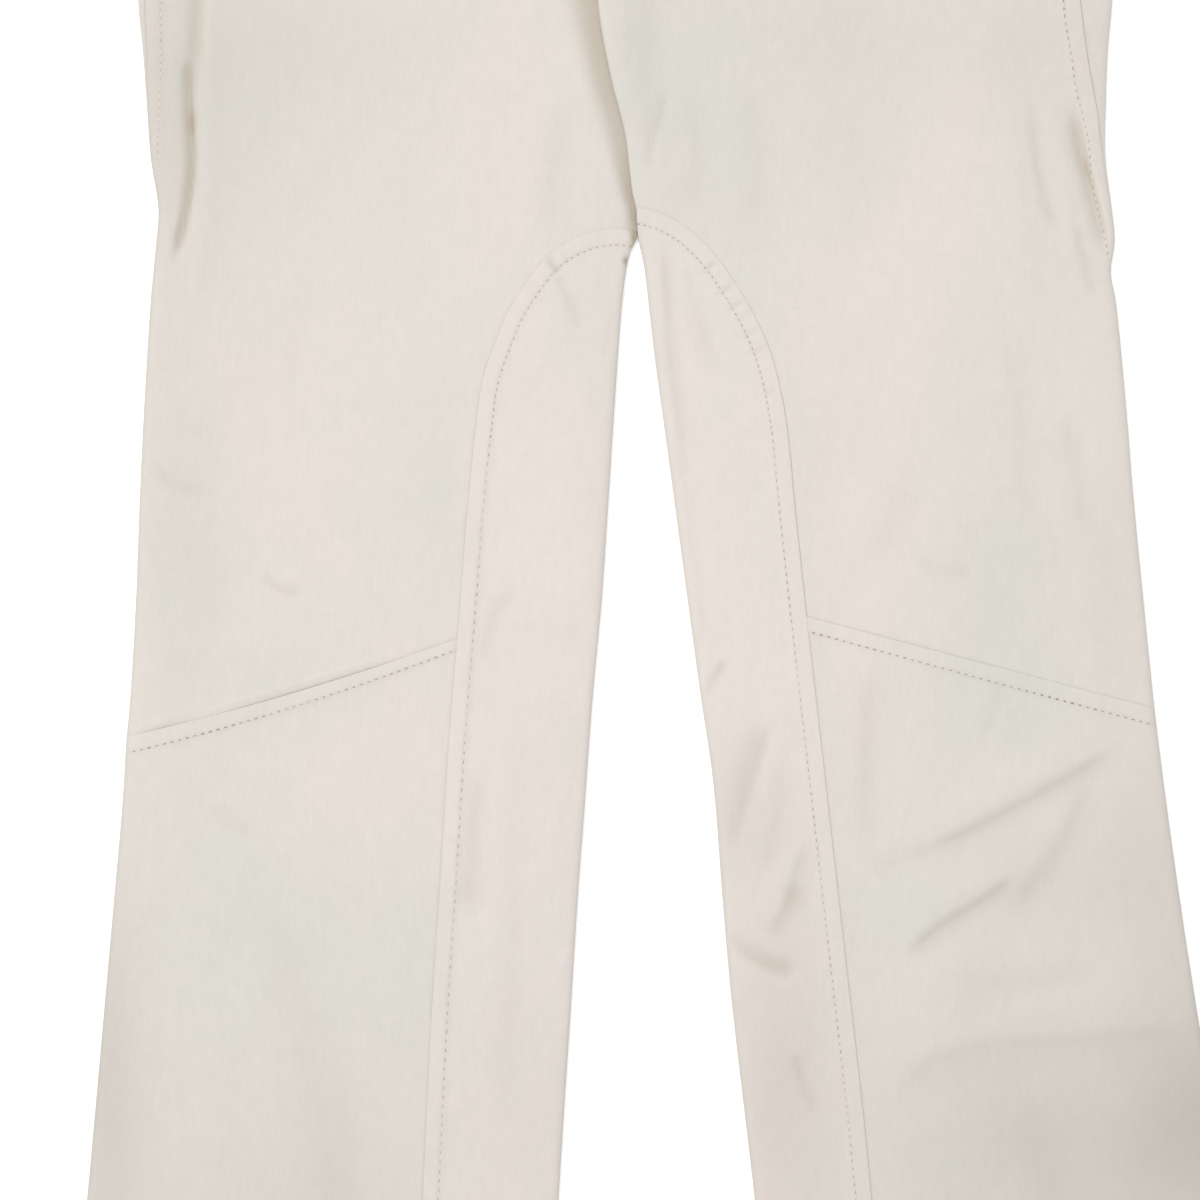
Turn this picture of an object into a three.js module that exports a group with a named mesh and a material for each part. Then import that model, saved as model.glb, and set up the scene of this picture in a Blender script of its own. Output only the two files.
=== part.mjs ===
/**
 * Wide-leg cotton jeans, lying flat with the front side up.
 *
 * Millimetres, +Z up, and Z = 0 is the surface they lie on. Every panel is drawn from the
 * crotch point: "across" runs towards the wearer's left leg (+X) and "down" runs towards the
 * hems (-Y). Right and left are the wearer's, so the right leg lies at -X.
 *
 * The garment is a flattened tube. A panel is a grid of stations, each with a point on the
 * cloth's outer face and one on its inner face, and the front panels follow one height
 * function, with the creases pressed into it.
 */
import * as THREE from 'three';

// Driving dimensions
const INSEAM = 790; // crotch to hem
const FRONT_RISE = 278; // crotch to the top of the waistband, at the front
const BACK_RISE = 305; // the same at the back
const SIDE_RISE = 292; // the same at the sides
const BAND_WIDTH = 40; // waistband
const SEAM_STRIP = 9; // seam to topstitch, along the curved seams and the side seams
const KNEE_STRIP = 6.5; // seam to topstitch, at the knee
const HEM_DEPTH = 20; // turned-up hem
const BUTTON_RADIUS = 8.5;
const BUTTON_HEIGHT = 3.2;

// Cloth
const SEAM_GAP = 0.3; // between two sewn pieces
const PANEL = { wall: 1.4, edgeRadius: 1.6 }; // one layer, and how it turns at a leg's edge
const BAND = { wall: 2.2, edgeRadius: 2.4 }; // folded band, two layers
const LAYER_GAP_MOST = 3.5; // the most room between the front and the back layer
const STRIP_RAISE = 0.8; // seam allowances under a topstitched strip
const STRIP_SLOPE = 1.6; // width over which a strip falls back to the panel
const HEM_RAISE = 0.6;
const ROLL_WIDTH = 11; // how fast the front rises from its edge
const BAND_LAP = 32; // how far the left band laps over the right one
const SIDE_STRIP_RAISE = 0.6;
const KNEE_SAG_REACH = 80; // how far from the knee seam its sag has died away
const WAIST_SAG = { front: (SIDE_RISE - FRONT_RISE) / 4, back: (SIDE_RISE - BACK_RISE) / 4 };
const WAIST_SAG_REACH = 120; // how far from the waistband its curve has died away
const FAN_REACH = 60; // how far down the rows of an inner-leg panel turn square to the leg
const FIRST_STOP = 3; // first row past the crotch's corner

// The middle of the garment's footprint is the origin
const CROTCH = { x: -18, y: 242.5 };

const COLOURS = {
  front: 0xe4dcd2,
  shin: 0xe0d9cf,
  saddle: 0xe8dfd8,
  back: 0xded6ca,
  band: 0xe2dacf,
  button: 0xb9b0a2,
};

const table = (columns, rows) =>
  rows.map((row) => Object.fromEntries(columns.map((column, i) => [column, row[i]])));

// Outer edges of the flattened garment, waistband to hem
const OUTER = table(
  ['down', 'right', 'left'],
  [
    [-SIDE_RISE, -229, 213],
    [-252, -238, 223],
    [-222, -256, 243],
    [-192, -271, 259],
    [-162, -278.5, 266.6],
    [-133, -279, 266.3],
    [-105, -276.6, 263.2],
    [-77, -274.4, 262],
    [-45, -271.2, 262.4],
    [-15, -267.4, 266],
    [2, -268.6, 267.7],
    [20, -270.3, 265.5],
    [35, -271.9, 268.2],
    [91, -275.5, 273.8],
    [147, -278.3, 277.2],
    [203, -280, 283.9],
    [259, -283.4, 288.8],
    [315, -287.3, 295.7],
    [371, -291.8, 304],
    [427, -296.8, 313],
    [539, -307.4, 331],
    [INSEAM, -332.5, 368.6],
  ],
);

// Inner edges of the two legs, crotch to hem
const INNER = {
  right: table(
    ['down', 'across'],
    [
      [6, -2.6],
      [13, -6.2],
      [35, -9],
      [91, -14],
      [147, -17.6],
      [203, -19.9],
      [259, -24.1],
      [315, -28],
      [371, -32.5],
      [427, -34.7],
      [539, -40.9],
      [INSEAM, -54.7],
    ],
  ),
  left: table(
    ['down', 'across'],
    [
      [0.5, 0.6],
      [16, 3.9],
      [35, 6.7],
      [66, 10.6],
      [120, 19],
      [203, 28.6],
      [259, 35.3],
      [315, 44.2],
      [371, 48.7],
      [427, 54.9],
      [539, 66.4],
      [INSEAM, 92.7],
    ],
  ),
};

// Curved seams, crotch to hem: over the top of the inner leg, then down beside it
const SADDLE = {
  right: table(
    ['down', 'across'],
    [
      [-3.4, -1],
      [-4, -21],
      [1.7, -36.4],
      [10.6, -50.4],
      [25.2, -61.3],
      [41, -72.2],
      [58.8, -79],
      [76.7, -86],
      [111, -90.7],
      [155, -95.2],
      [203, -98.8],
      [283, -105.3],
      [364, -110.3],
      [435, -115],
      [539, -120.1],
      [INSEAM, -133],
    ],
  ),
  left: table(
    ['down', 'across'],
    [
      [-16.2, -1.4],
      [-14.2, 10],
      [-9, 22.4],
      [0, 33.4],
      [12.3, 44],
      [28.6, 54.9],
      [46.5, 65.5],
      [66, 74.5],
      [102, 83.4],
      [146, 87.9],
      [203, 94],
      [291, 104],
      [354, 111.2],
      [416, 118.2],
      [487, 126.3],
      [539, 131.4],
      [INSEAM, 154],
    ],
  ),
};

// Centre front seam, at the foot of the crotch fold
const CENTRE = table(
  ['down', 'across'],
  [
    [-FRONT_RISE, -16],
    [-238, -17],
    [-190, -23],
    [-133, -25.5],
    [-90, -19],
    [-47, -9],
    [-16.2, -1.4],
    [-3.4, -1],
    [0, 0],
  ],
);
const CENTRE_BACK = table(
  ['down', 'across'],
  [
    [-BACK_RISE, -14],
    [-265, -13],
    [-133, -7],
    [-16.2, -1.4],
    [-3.4, -1],
    [0, 0],
  ],
);

// Knee seams: how far down the curved seam and the outer edge they meet, and their sag
const KNEE = {
  right: { inner: 225.7, outer: 281.7, sag: 3.4 },
  left: { inner: 213.7, outer: 262.6, sag: 0.6 },
};

// Side seams: how far they lie in from the outer edge, on the front
const SIDE_WRAP = table(
  ['down', 'right', 'left'],
  [
    [-SIDE_RISE, 9, 21],
    [-240, 8, 20.5],
    [-133, 4.2, 18.5],
    [-86, 1.2, 8.3],
    [-68, 0.6, 4.4],
    [-47, 0.3, 1.6],
    [-20, 0, 0.6],
    [6, 0, 0],
  ],
);

// Height of the front's outer face, well in from the edges
const PLATEAU = table(
  ['down', 'height'],
  [
    [-SIDE_RISE, 5],
    [-200, 5.8],
    [-60, 5.8],
    [60, 5.4],
    [250, 5.1],
    [480, 4.8],
    [INSEAM, 4.5],
  ],
);
const HEIGHT_LEAST = 3.1;
const HEIGHT_MOST = 7.6;
const FOLD_FADE = 0.22; // share of a crease's length over which each end dies away

// Creases (height below 0) and ridges. Each path is a list of [across, down], and its widths are
// the reach of the crease towards the wearer's right and left where the path runs down.
const FOLDS = [
  {
    name: 'crotch fold',
    height: -4.6,
    widths: [11, 4.5],
    path: [[-23, -232], [-26, -170], [-25.5, -133], [-19, -90], [-9, -47], [-1.5, -16], [0, 20]],
  },
  {
    name: 'roll beside the crotch fold',
    height: 1.9,
    widths: [7, 15],
    path: [[-8, -215], [-12, -133], [-5, -90], [5, -50], [13, -14], [17, 12]],
  },
  {
    name: 'pull beside the roll',
    height: -1.3,
    widths: [4, 6],
    path: [[16, -112], [15, -85], [11, -50], [9, -14]],
  },
  {
    name: 'right hip fold',
    height: -2.3,
    widths: [9, 7],
    path: [[-243, -195], [-245, -133], [-250, -75], [-250, -32], [-257, 0], [-262, 60]],
  },
  {
    name: 'right hip ridge',
    height: 0.9,
    widths: [8, 12],
    path: [[-229, -175], [-232, -110], [-235, -50], [-240, 20], [-246, 80]],
  },
  {
    name: 'left hip crease',
    height: -1.2,
    widths: [5, 5],
    path: [[218, -110], [222, -66], [224, -40], [229, -10], [236, 12]],
  },
  {
    name: 'hook at the right thigh',
    height: -1.2,
    widths: [6, 5],
    path: [[-272, 130], [-262, 145], [-248, 149], [-228, 142]],
  },
  {
    name: 'hook above the right knee',
    height: -1,
    widths: [5, 5],
    path: [[-222, 180], [-210, 192], [-196, 199], [-180, 196]],
  },
  {
    name: 'long trough beside the right saddle seam',
    height: -1.3,
    widths: [6, 7],
    path: [[-90, 270], [-88, 315], [-91, 360], [-95, 420]],
  },
  {
    name: 'right shin drape',
    height: -1.1,
    widths: [14, 14],
    path: [[-205, 360], [-190, 420], [-172, 500], [-165, 600]],
  },
  {
    name: 'left calf wedge',
    height: -2,
    widths: [7, 9],
    path: [[77, 262], [70, 300], [60, 332], [50, 352]],
  },
  {
    name: 'left calf hollow',
    height: -1.8,
    widths: [8, 7],
    path: [[78, 312], [82, 345], [84, 372], [90, 400]],
  },
  {
    name: 'left calf curved fold',
    height: -2,
    widths: [5, 8],
    path: [[46, 388], [61, 404], [76, 411], [98, 405]],
  },
  {
    name: 'left knee trough',
    height: -1.7,
    widths: [8, 9],
    path: [[285, 280], [250, 298], [205, 323], [160, 340], [124, 366]],
  },
  {
    name: 'left shin crease',
    height: -1.5,
    widths: [6, 7],
    path: [[228, 352], [197, 367], [172, 384], [140, 408]],
  },
  {
    name: 'left shin fall',
    height: -1.4,
    widths: [11, 15],
    path: [[140, 474], [185, 452], [240, 445], [300, 441], [326, 452]],
  },
  {
    name: 'left shin drape',
    height: -1.1,
    widths: [15, 15],
    path: [[216, 470], [232, 540], [240, 620], [252, 710]],
  },
];

/** A smooth line on the table, measured by distance along it. */
class Line {
  constructor(rows) {
    const points = rows.map(({ across, down }) => new THREE.Vector3(across, down, 0));
    this.curve = new THREE.CatmullRomCurve3(points, false, 'centripetal');
    this.curve.arcLengthDivisions = 600;
    this.length = this.curve.getLength();
    this.steps = this.curve.getSpacedPoints(160);
  }

  at(distance) {
    return this.curve.getPointAt(THREE.MathUtils.clamp(distance / this.length, 0, 1));
  }

  /** Distance along the line at which it has come this far down. */
  whereDown(down) {
    let low = 0;
    let high = this.length;
    for (let i = 0; i < 40; i++) {
      const middle = (low + high) / 2;
      if (this.at(middle).y < down) low = middle;
      else high = middle;
    }
    return low;
  }

  /** Nearest distance from a point, which side of the line it is on, and how far along. */
  nearest(point) {
    const best = { distance: Infinity, side: 1, along: 0 };
    for (let i = 0; i + 1 < this.steps.length; i++) {
      const start = this.steps[i];
      const run = this.steps[i + 1].clone().sub(start);
      const offset = point.clone().sub(start).setZ(0);
      const t = THREE.MathUtils.clamp(offset.dot(run) / run.lengthSq(), 0, 1);
      const distance = offset.distanceTo(run.clone().multiplyScalar(t));
      if (distance < best.distance) {
        best.distance = distance;
        best.side = Math.sign(run.x * offset.y - run.y * offset.x) || 1;
        best.along = (i + t) / (this.steps.length - 1);
      }
    }
    return best;
  }
}

/** Value of one column of a table where another column has the value given. */
function lookUp(rows, column, down) {
  const last = rows.length - 1;
  if (down <= rows[0].down) return rows[0][column];
  if (down >= rows[last].down) return rows[last][column];
  const i = rows.findIndex((row) => row.down > down);
  const t = (down - rows[i - 1].down) / (rows[i].down - rows[i - 1].down);
  return THREE.MathUtils.lerp(rows[i - 1][column], rows[i][column], t);
}

const SIDES = ['right', 'left'];
const outerRows = (side) => OUTER.map((row) => ({ down: row.down, across: row[side] }));
const bySide = (make) => Object.fromEntries(SIDES.map((side) => [side, make(side)]));
const outerLine = bySide((side) => new Line(outerRows(side)));
const innerLine = bySide((side) => new Line(INNER[side]));
const saddleLine = bySide((side) => new Line(SADDLE[side]));
const centreLine = { front: new Line(CENTRE), back: new Line(CENTRE_BACK) };
const foldLines = FOLDS.map(({ path, height, widths }) => ({
  line: new Line(path.map(([across, down]) => ({ across, down }))),
  height,
  widths,
}));

/** How deep or high the creases are at a point. */
function creases(point) {
  let sum = 0;
  for (const { line, height, widths } of foldLines) {
    const { distance, side, along } = line.nearest(point);
    const width = side > 0 ? widths[0] : widths[1];
    const fade = THREE.MathUtils.smoothstep(Math.min(along, 1 - along), 0, FOLD_FADE);
    sum += height * fade * Math.exp(-((distance / width) ** 2));
  }
  return sum;
}

/** Height of the front's outer face. It is round at the edges of the garment. */
function frontHeight(point) {
  const edges = [outerLine.right, outerLine.left, innerLine.right, innerLine.left];
  const edge = Math.min(...edges.map((line) => line.nearest(point).distance));
  const radius = PANEL.edgeRadius;
  if (edge < radius) return radius + Math.sqrt(radius ** 2 - (radius - edge) ** 2);
  const rise = 1 - Math.exp(-(edge - radius) / ROLL_WIDTH);
  const flat = lookUp(PLATEAU, 'height', point.y) - 2 * radius;
  const height = 2 * radius + rise * (flat + creases(point));
  return THREE.MathUtils.clamp(height, HEIGHT_LEAST, HEIGHT_MOST);
}

/** The two faces of the front layer at a point. A lift thickens it, a shift moves it up. */
function frontStation(point, cloth, lift = 0, shift = 0) {
  const height = frontHeight(point) + 2 * (cloth.edgeRadius - PANEL.edgeRadius);
  const under = Math.min(height - cloth.wall, cloth.wall + LAYER_GAP_MOST);
  return {
    outer: point.clone().setZ(height + lift + shift),
    inner: point.clone().setZ(under + shift),
  };
}

/** The two faces of the back layer at a point. */
function backStation(point, cloth) {
  return { outer: point.clone().setZ(0), inner: point.clone().setZ(cloth.wall) };
}

/**
 * The two faces where the cloth turns at an edge of the garment. "turn" is the distance round
 * the edge from where the back layer begins to rise. Past the half circle it is on the front.
 */
function edgeStation(edgePoint, outward, turn, cloth, lift = 0) {
  const radius = cloth.edgeRadius;
  const half = Math.PI * radius;
  if (turn >= half) {
    const inwards = radius + turn - half;
    return frontStation(edgePoint.clone().addScaledVector(outward, -inwards), cloth, lift);
  }
  const angle = turn / radius - Math.PI / 2;
  const centre = edgePoint.clone().addScaledVector(outward, -radius).setZ(radius);
  const up = new THREE.Vector3(0, 0, 1);
  const onCircle = (distance) =>
    centre
      .clone()
      .addScaledVector(outward, distance * Math.cos(angle))
      .addScaledVector(up, distance * Math.sin(angle));
  return { outer: onCircle(radius), inner: onCircle(radius - cloth.wall) };
}

/** Distances along a length: given ones from each end, and even ones between. */
function stations(length, near, even, far) {
  const start = near[near.length - 1];
  const end = length - far[0];
  const between = Array.from(
    { length: even },
    (_, i) => start + ((end - start) * (i + 1)) / (even + 1),
  );
  return [...near, ...between, ...far.map((distance) => length - distance)];
}

/** How far round the edge a side seam lies. Low down it is at the middle of the edge. */
function sideSeamTurn(side, down, cloth) {
  const wrap = lookUp(SIDE_WRAP, side, down);
  const half = Math.PI * cloth.edgeRadius;
  if (wrap >= cloth.edgeRadius) return half + wrap - cloth.edgeRadius;
  return (half / 2) * (1 + wrap / cloth.edgeRadius);
}

/** Bows a row down between its ends, as the waist and the knee seams are. */
function bow(row, start, end, sag) {
  const outward = end.clone().sub(start);
  for (const face of row.flatMap(({ outer, inner }) => [outer, inner])) {
    const offset = face.clone().sub(start).setZ(0);
    const along = Math.min(1, offset.dot(outward) / outward.lengthSq());
    face.y += 4 * sag * along * (1 - along);
  }
  return row;
}

/**
 * A row of a front panel, from a cut edge to a seam at or near the garment's edge. "near" holds
 * distances from the cut edge, each with its lift and shift, and "far" distances from the seam,
 * each with its lift. A lap carries the row on past its start.
 */
function frontRow(start, end, { cloth = PANEL, seamTurn, near, even, far = [], lift = 0, sag = 0, lap = 0 }) {
  const outward = end.clone().sub(start).normalize();
  const half = Math.PI * cloth.edgeRadius;
  const seam = seamTurn + SEAM_GAP / 2;
  const seamLift = far.at(-1)?.[1] ?? 0;
  const turns = [
    ...far.map(([distance, farLift]) => [Math.max(half, seam) + distance, farLift]),
    ...[half + 2.4, half, half * 0.75, seam].map((turn) => [Math.max(turn, seam), seamLift]),
  ];
  const first = start.clone().addScaledVector(outward, -lap);
  const last = end.distanceTo(first) - cloth.edgeRadius - (turns[0][0] - half);
  const squeeze = Math.min(1, last / (1.6 * near.at(-1)[0] + 1));
  const distances = stations(last, near.map(([distance]) => distance * squeeze), even, [0]);
  const inside = distances.slice(0, -1).map((distance, i) => {
    const [, nearLift, shift] = near[i] ?? [0, 0, 0];
    const point = first.clone().addScaledVector(outward, distance);
    return frontStation(point, cloth, Math.max(lift, nearLift), shift);
  });
  const edge = turns.map(([turn, farLift]) =>
    edgeStation(end, outward, turn, cloth, Math.max(lift, farLift)),
  );
  return bow([...inside, ...edge], start, end, sag);
}

/** A row of a back layer, from a cut edge to the garment's edge, and round it to the seam. */
function backRow(start, end, seamTurn, cloth = PANEL, sag = 0) {
  const outward = end.clone().sub(start).normalize();
  const half = Math.PI * cloth.edgeRadius;
  const seam = seamTurn - SEAM_GAP / 2;
  const flat = [0, 0.35, 0.7].map((along) => backStation(start.clone().lerp(end, along), cloth));
  const edge = [0, half * 0.25, half * 0.5 - SEAM_GAP / 2, half * 0.75, half, half + 3, seam].map(
    (turn) => edgeStation(end, outward, Math.min(turn, seam), cloth),
  );
  return bow([...flat, ...edge], start, end, sag);
}

/** A point half a seam's gap beside a line, towards the wearer's left (1) or right (-1). */
function beside(line, distance, towards) {
  const ahead = line.at(distance + 0.5).sub(line.at(distance - 0.5)).normalize();
  const across = new THREE.Vector3(ahead.y, -ahead.x, 0);
  return line.at(distance).addScaledVector(across, (towards * SEAM_GAP) / 2);
}

/** A closed solid from rows of stations. Stations that fall together close up. */
function solid(rows) {
  const positions = [];
  const triangles = [];
  const seen = new Map();
  const vertex = ({ x, y, z }) => {
    const place = [CROTCH.x + x, CROTCH.y - y, z];
    const key = place.map((value) => value.toFixed(3)).join();
    if (!seen.has(key)) {
      seen.set(key, positions.length / 3);
      positions.push(...place);
    }
    return seen.get(key);
  };
  const triangle = (...corners) => {
    const found = corners.map(vertex);
    if (new Set(found).size === 3) triangles.push(found);
  };
  const quad = (a, b, c, d) => {
    triangle(a, b, c);
    triangle(a, c, d);
  };
  const rim = (a, b) => quad(a.outer, b.outer, b.inner, a.inner);
  const lastRow = rows.length - 1;
  const lastColumn = rows[0].length - 1;
  for (let i = 0; i < lastRow; i++) {
    for (let j = 0; j < lastColumn; j++) {
      const [a, b, c, d] = [rows[i][j], rows[i + 1][j], rows[i + 1][j + 1], rows[i][j + 1]];
      quad(a.outer, b.outer, c.outer, d.outer);
      quad(d.inner, c.inner, b.inner, a.inner);
    }
    rim(rows[i + 1][0], rows[i][0]);
    rim(rows[i][lastColumn], rows[i + 1][lastColumn]);
  }
  for (let j = 0; j < lastColumn; j++) {
    rim(rows[0][j], rows[0][j + 1]);
    rim(rows[lastRow][j + 1], rows[lastRow][j]);
  }
  const corner = (i) => new THREE.Vector3().fromArray(positions, 3 * i);
  const volume = triangles.reduce(
    (sum, [a, b, c]) => sum + corner(a).dot(corner(b).cross(corner(c))),
    0,
  );
  if (volume < 0) triangles.forEach((found) => found.reverse());
  const geometry = new THREE.BufferGeometry();
  geometry.setAttribute('position', new THREE.Float32BufferAttribute(positions, 3));
  geometry.setIndex(triangles.flat());
  return geometry;
}

const towards = { right: -1, left: 1 };

/** Distances down the centre seam at which both sides' rows start. The right one goes on. */
function centreStops(side, centre, rise) {
  const top = centre.whereDown(BAND_WIDTH - rise) + SEAM_GAP / 2;
  const length = centre.whereDown(SADDLE.left[0].down) - SEAM_GAP / 2 - top;
  const stops = stations(length, [0], 10, [0]).map((distance) => top + distance);
  if (side === 'right') stops.push(centre.whereDown(SADDLE.right[0].down) - SEAM_GAP / 2);
  return stops;
}

/** Distances down the curved seam at which the rows beside it start, crotch to knee. */
function kneeStops(side) {
  const knee = saddleLine[side].whereDown(KNEE[side].inner) - SEAM_GAP / 2;
  return stations(knee, [0, FIRST_STOP], 12, [0]);
}

/** The same from the knee to the hem. */
function shinStops(side) {
  const saddle = saddleLine[side];
  const start = saddle.whereDown(KNEE[side].inner) + SEAM_GAP / 2;
  const near = [0, KNEE_STRIP, KNEE_STRIP + STRIP_SLOPE];
  const far = [HEM_DEPTH + STRIP_SLOPE, HEM_DEPTH, 0];
  return stations(saddle.length - start, near, 22, far).map((distance) => start + distance);
}

/** Points down a panel's inner side: the centre seam to the crotch, then the curved seam. */
function innerPoints(side, centre, rise) {
  const upper = centreStops(side, centre, rise).map((stop) => beside(centre, stop, towards[side]));
  const lower = kneeStops(side).map((stop) => beside(saddleLine[side], stop, towards[side]));
  return [...upper, ...lower.slice(1)];
}

/** The matching points on the garment's outer edge, waistband to knee. */
function outerPoints(side) {
  const stops = centreStops(side, centreLine.front, FRONT_RISE);
  const crotch = stops.at(-1);
  const run = [...stops, ...kneeStops(side).slice(1).map((stop) => crotch + stop)];
  const outer = outerLine[side];
  const start = outer.whereDown(BAND_WIDTH - SIDE_RISE) + SEAM_GAP / 2;
  const end = outer.whereDown(KNEE[side].outer) - SEAM_GAP / 2;
  const scale = (end - start) / (run.at(-1) - run[0]);
  return run.map((distance) => outer.at(start + scale * (distance - run[0])));
}

/** Rows of the shin: where each starts and ends, and its distance from the knee seam. */
function shinRows(side) {
  const outer = outerLine[side];
  const stops = shinStops(side);
  const start = outer.whereDown(KNEE[side].outer) + SEAM_GAP / 2;
  const scale = (outer.length - start) / (stops.at(-1) - stops[0]);
  return stops.map((stop) => ({
    start: beside(saddleLine[side], stop, towards[side]),
    end: outer.at(start + scale * (stop - stops[0])),
    fromKnee: stop - stops[0],
    toHem: stops.at(-1) - stop,
  }));
}

/** Lift of a row at a hem or under a strip, by its distance from that edge. */
const stripLift = (distance, width, raise) => (distance <= width + 0.01 ? raise : 0);

/** How far a knee seam's rows sag between their ends, by their distance from it. */
const kneeSag = (side, distance) => KNEE[side].sag * Math.max(0, 1 - distance / KNEE_SAG_REACH) ** 2;
const waistSag = (layer, distance) =>
  WAIST_SAG[layer] * Math.max(0, 1 - distance / WAIST_SAG_REACH) ** 2;

/** The side seam's topstitched strip, which lies on the front at the hip. */
function sideStrip(side, down) {
  const wrap = lookUp(SIDE_WRAP, side, down);
  const raise = SIDE_STRIP_RAISE * THREE.MathUtils.smoothstep(wrap, 0.5, 4);
  return [
    [SEAM_STRIP + STRIP_SLOPE, 0],
    [SEAM_STRIP, raise],
  ];
}

function frontThigh(side) {
  const ends = outerPoints(side);
  const rows = innerPoints(side, centreLine.front, FRONT_RISE).map((start, i) => {
    const fromKnee = ends.at(-1).distanceTo(ends[i]);
    return frontRow(start, ends[i], {
      seamTurn: sideSeamTurn(side, ends[i].y, PANEL),
      near: [[0, 0, 0], [2.5, 0, 0], [6, 0, 0], [13, 0, 0]],
      even: 8,
      far: sideStrip(side, ends[i].y),
      sag: kneeSag(side, fromKnee) + waistSag('front', ends[0].distanceTo(ends[i])),
    });
  });
  return solid(rows);
}

function frontShin(side) {
  const rows = shinRows(side).map(({ start, end, fromKnee, toHem }) => {
    const hem = stripLift(toHem, HEM_DEPTH, HEM_RAISE);
    return frontRow(start, end, {
      seamTurn: sideSeamTurn(side, end.y, PANEL),
      near: [[0, 0, 0], [4, 0, 0]],
      even: 9,
      lift: Math.max(hem, stripLift(fromKnee, KNEE_STRIP, STRIP_RAISE)),
      sag: kneeSag(side, fromKnee),
    });
  });
  return solid(rows);
}

/** Rows of an inner-leg panel, from the curved seam to the leg's inner edge. */
function saddleRows(side, stops, makeRow) {
  const saddle = saddleLine[side];
  const edge = innerLine[side];
  const spare = saddle.length - edge.length;
  return stops.map((stop) => {
    const start = beside(saddle, stop, -towards[side]);
    const end = edge.at(stop - spare * (1 - Math.exp(-stop / FAN_REACH)));
    return makeRow(start, end, saddle.length - stop);
  });
}

function saddleFront(side) {
  const seamTurn = (Math.PI * PANEL.edgeRadius) / 2;
  const near = [
    [0, STRIP_RAISE, 0],
    [SEAM_STRIP, STRIP_RAISE, 0],
    [SEAM_STRIP + STRIP_SLOPE, 0, 0],
  ];
  const stops = [...kneeStops(side), ...shinStops(side).slice(1)];
  const rows = saddleRows(side, stops, (start, end, left) =>
    frontRow(start, end, { seamTurn, near, even: 3, lift: stripLift(left, HEM_DEPTH, HEM_RAISE) }),
  );
  return solid(rows);
}

/** Every second row, and the last one. The back is plain, so it needs fewer. */
const everySecond = (rows) => rows.filter((_, i) => i % 2 === 1 || i === rows.length - 1);

function saddleBack(side) {
  const seamTurn = (Math.PI * PANEL.edgeRadius) / 2;
  const stops = [...kneeStops(side), ...everySecond(shinStops(side))];
  return solid(saddleRows(side, stops, (start, end) => backRow(start, end, seamTurn)));
}

function back(side) {
  const ends = outerPoints(side);
  const starts = innerPoints(side, centreLine.back, BACK_RISE);
  const upper = starts.map((start, i) => {
    const sag = waistSag('back', ends[0].distanceTo(ends[i]));
    return backRow(start, ends[i], sideSeamTurn(side, ends[i].y, PANEL), PANEL, sag);
  });
  const lower = everySecond(shinRows(side)).map(({ start, end }) =>
    backRow(start, end, sideSeamTurn(side, end.y, PANEL)),
  );
  return solid([...upper, ...lower]);
}

/** Distances down the waistband at which its rows lie. */
const bandStops = [0, 1 / 3, 2 / 3, 1].map((part) => part * (BAND_WIDTH - SEAM_GAP / 2));

/** Front half of the waistband. The left one laps over the right one at the button. */
function frontBand(side) {
  const raise = BAND.wall + SEAM_GAP;
  const near = {
    left: [[0, 0, raise], [BAND_LAP / 2, 0, raise], [BAND_LAP + 1, 0, raise], [BAND_LAP + 9, 0, 0]],
    right: [[0, 0, 0], [8, 0, 0]],
  };
  const rows = bandStops.map((stop) => {
    const centre = centreLine.front;
    const start = centre.at(centre.whereDown(stop - FRONT_RISE));
    const end = outerLine[side].at(outerLine[side].whereDown(stop - SIDE_RISE));
    const seamTurn = sideSeamTurn(side, end.y, BAND);
    const shape = { near: near[side], even: 7, sag: WAIST_SAG.front, lap: BAND_LAP / 2 };
    return frontRow(start, end, { cloth: BAND, seamTurn, ...shape });
  });
  return solid(rows);
}

/** Back of the waistband, one piece from side seam to side seam. */
function backBand() {
  const rows = bandStops.map((stop) => {
    const middle = centreLine.back.at(centreLine.back.whereDown(stop - BACK_RISE));
    const [right, left] = SIDES.map((side) => {
      const end = outerLine[side].at(outerLine[side].whereDown(stop - SIDE_RISE));
      return backRow(middle, end, sideSeamTurn(side, end.y, BAND), BAND, WAIST_SAG.back);
    });
    return [...right.reverse(), ...left.slice(1)];
  });
  return solid(rows);
}

/** A plain shank button: a dished cap on a short stem, closed on its axis. */
function buttonGeometry() {
  const profile = [
    [0, 0],
    [0.55 * BUTTON_RADIUS, 0],
    [0.55 * BUTTON_RADIUS, 0.35 * BUTTON_HEIGHT],
    [0.94 * BUTTON_RADIUS, 0.42 * BUTTON_HEIGHT],
    [BUTTON_RADIUS, 0.62 * BUTTON_HEIGHT],
    [0.95 * BUTTON_RADIUS, 0.9 * BUTTON_HEIGHT],
    [0.82 * BUTTON_RADIUS, BUTTON_HEIGHT],
    [0.7 * BUTTON_RADIUS, 0.9 * BUTTON_HEIGHT],
    [0.6 * BUTTON_RADIUS, 0.78 * BUTTON_HEIGHT],
    [0, 0.72 * BUTTON_HEIGHT],
  ].map(([radius, height]) => new THREE.Vector2(radius, height));
  return new THREE.LatheGeometry(profile, 20).rotateX(Math.PI / 2);
}

const garment = new THREE.Group();

function add(name, geometry, colour, roughness = 0.9, metalness = 0) {
  const material = new THREE.MeshStandardMaterial({ color: colour, roughness, metalness });
  const mesh = new THREE.Mesh(geometry, material);
  mesh.name = name;
  garment.add(mesh);
  return mesh;
}

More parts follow.
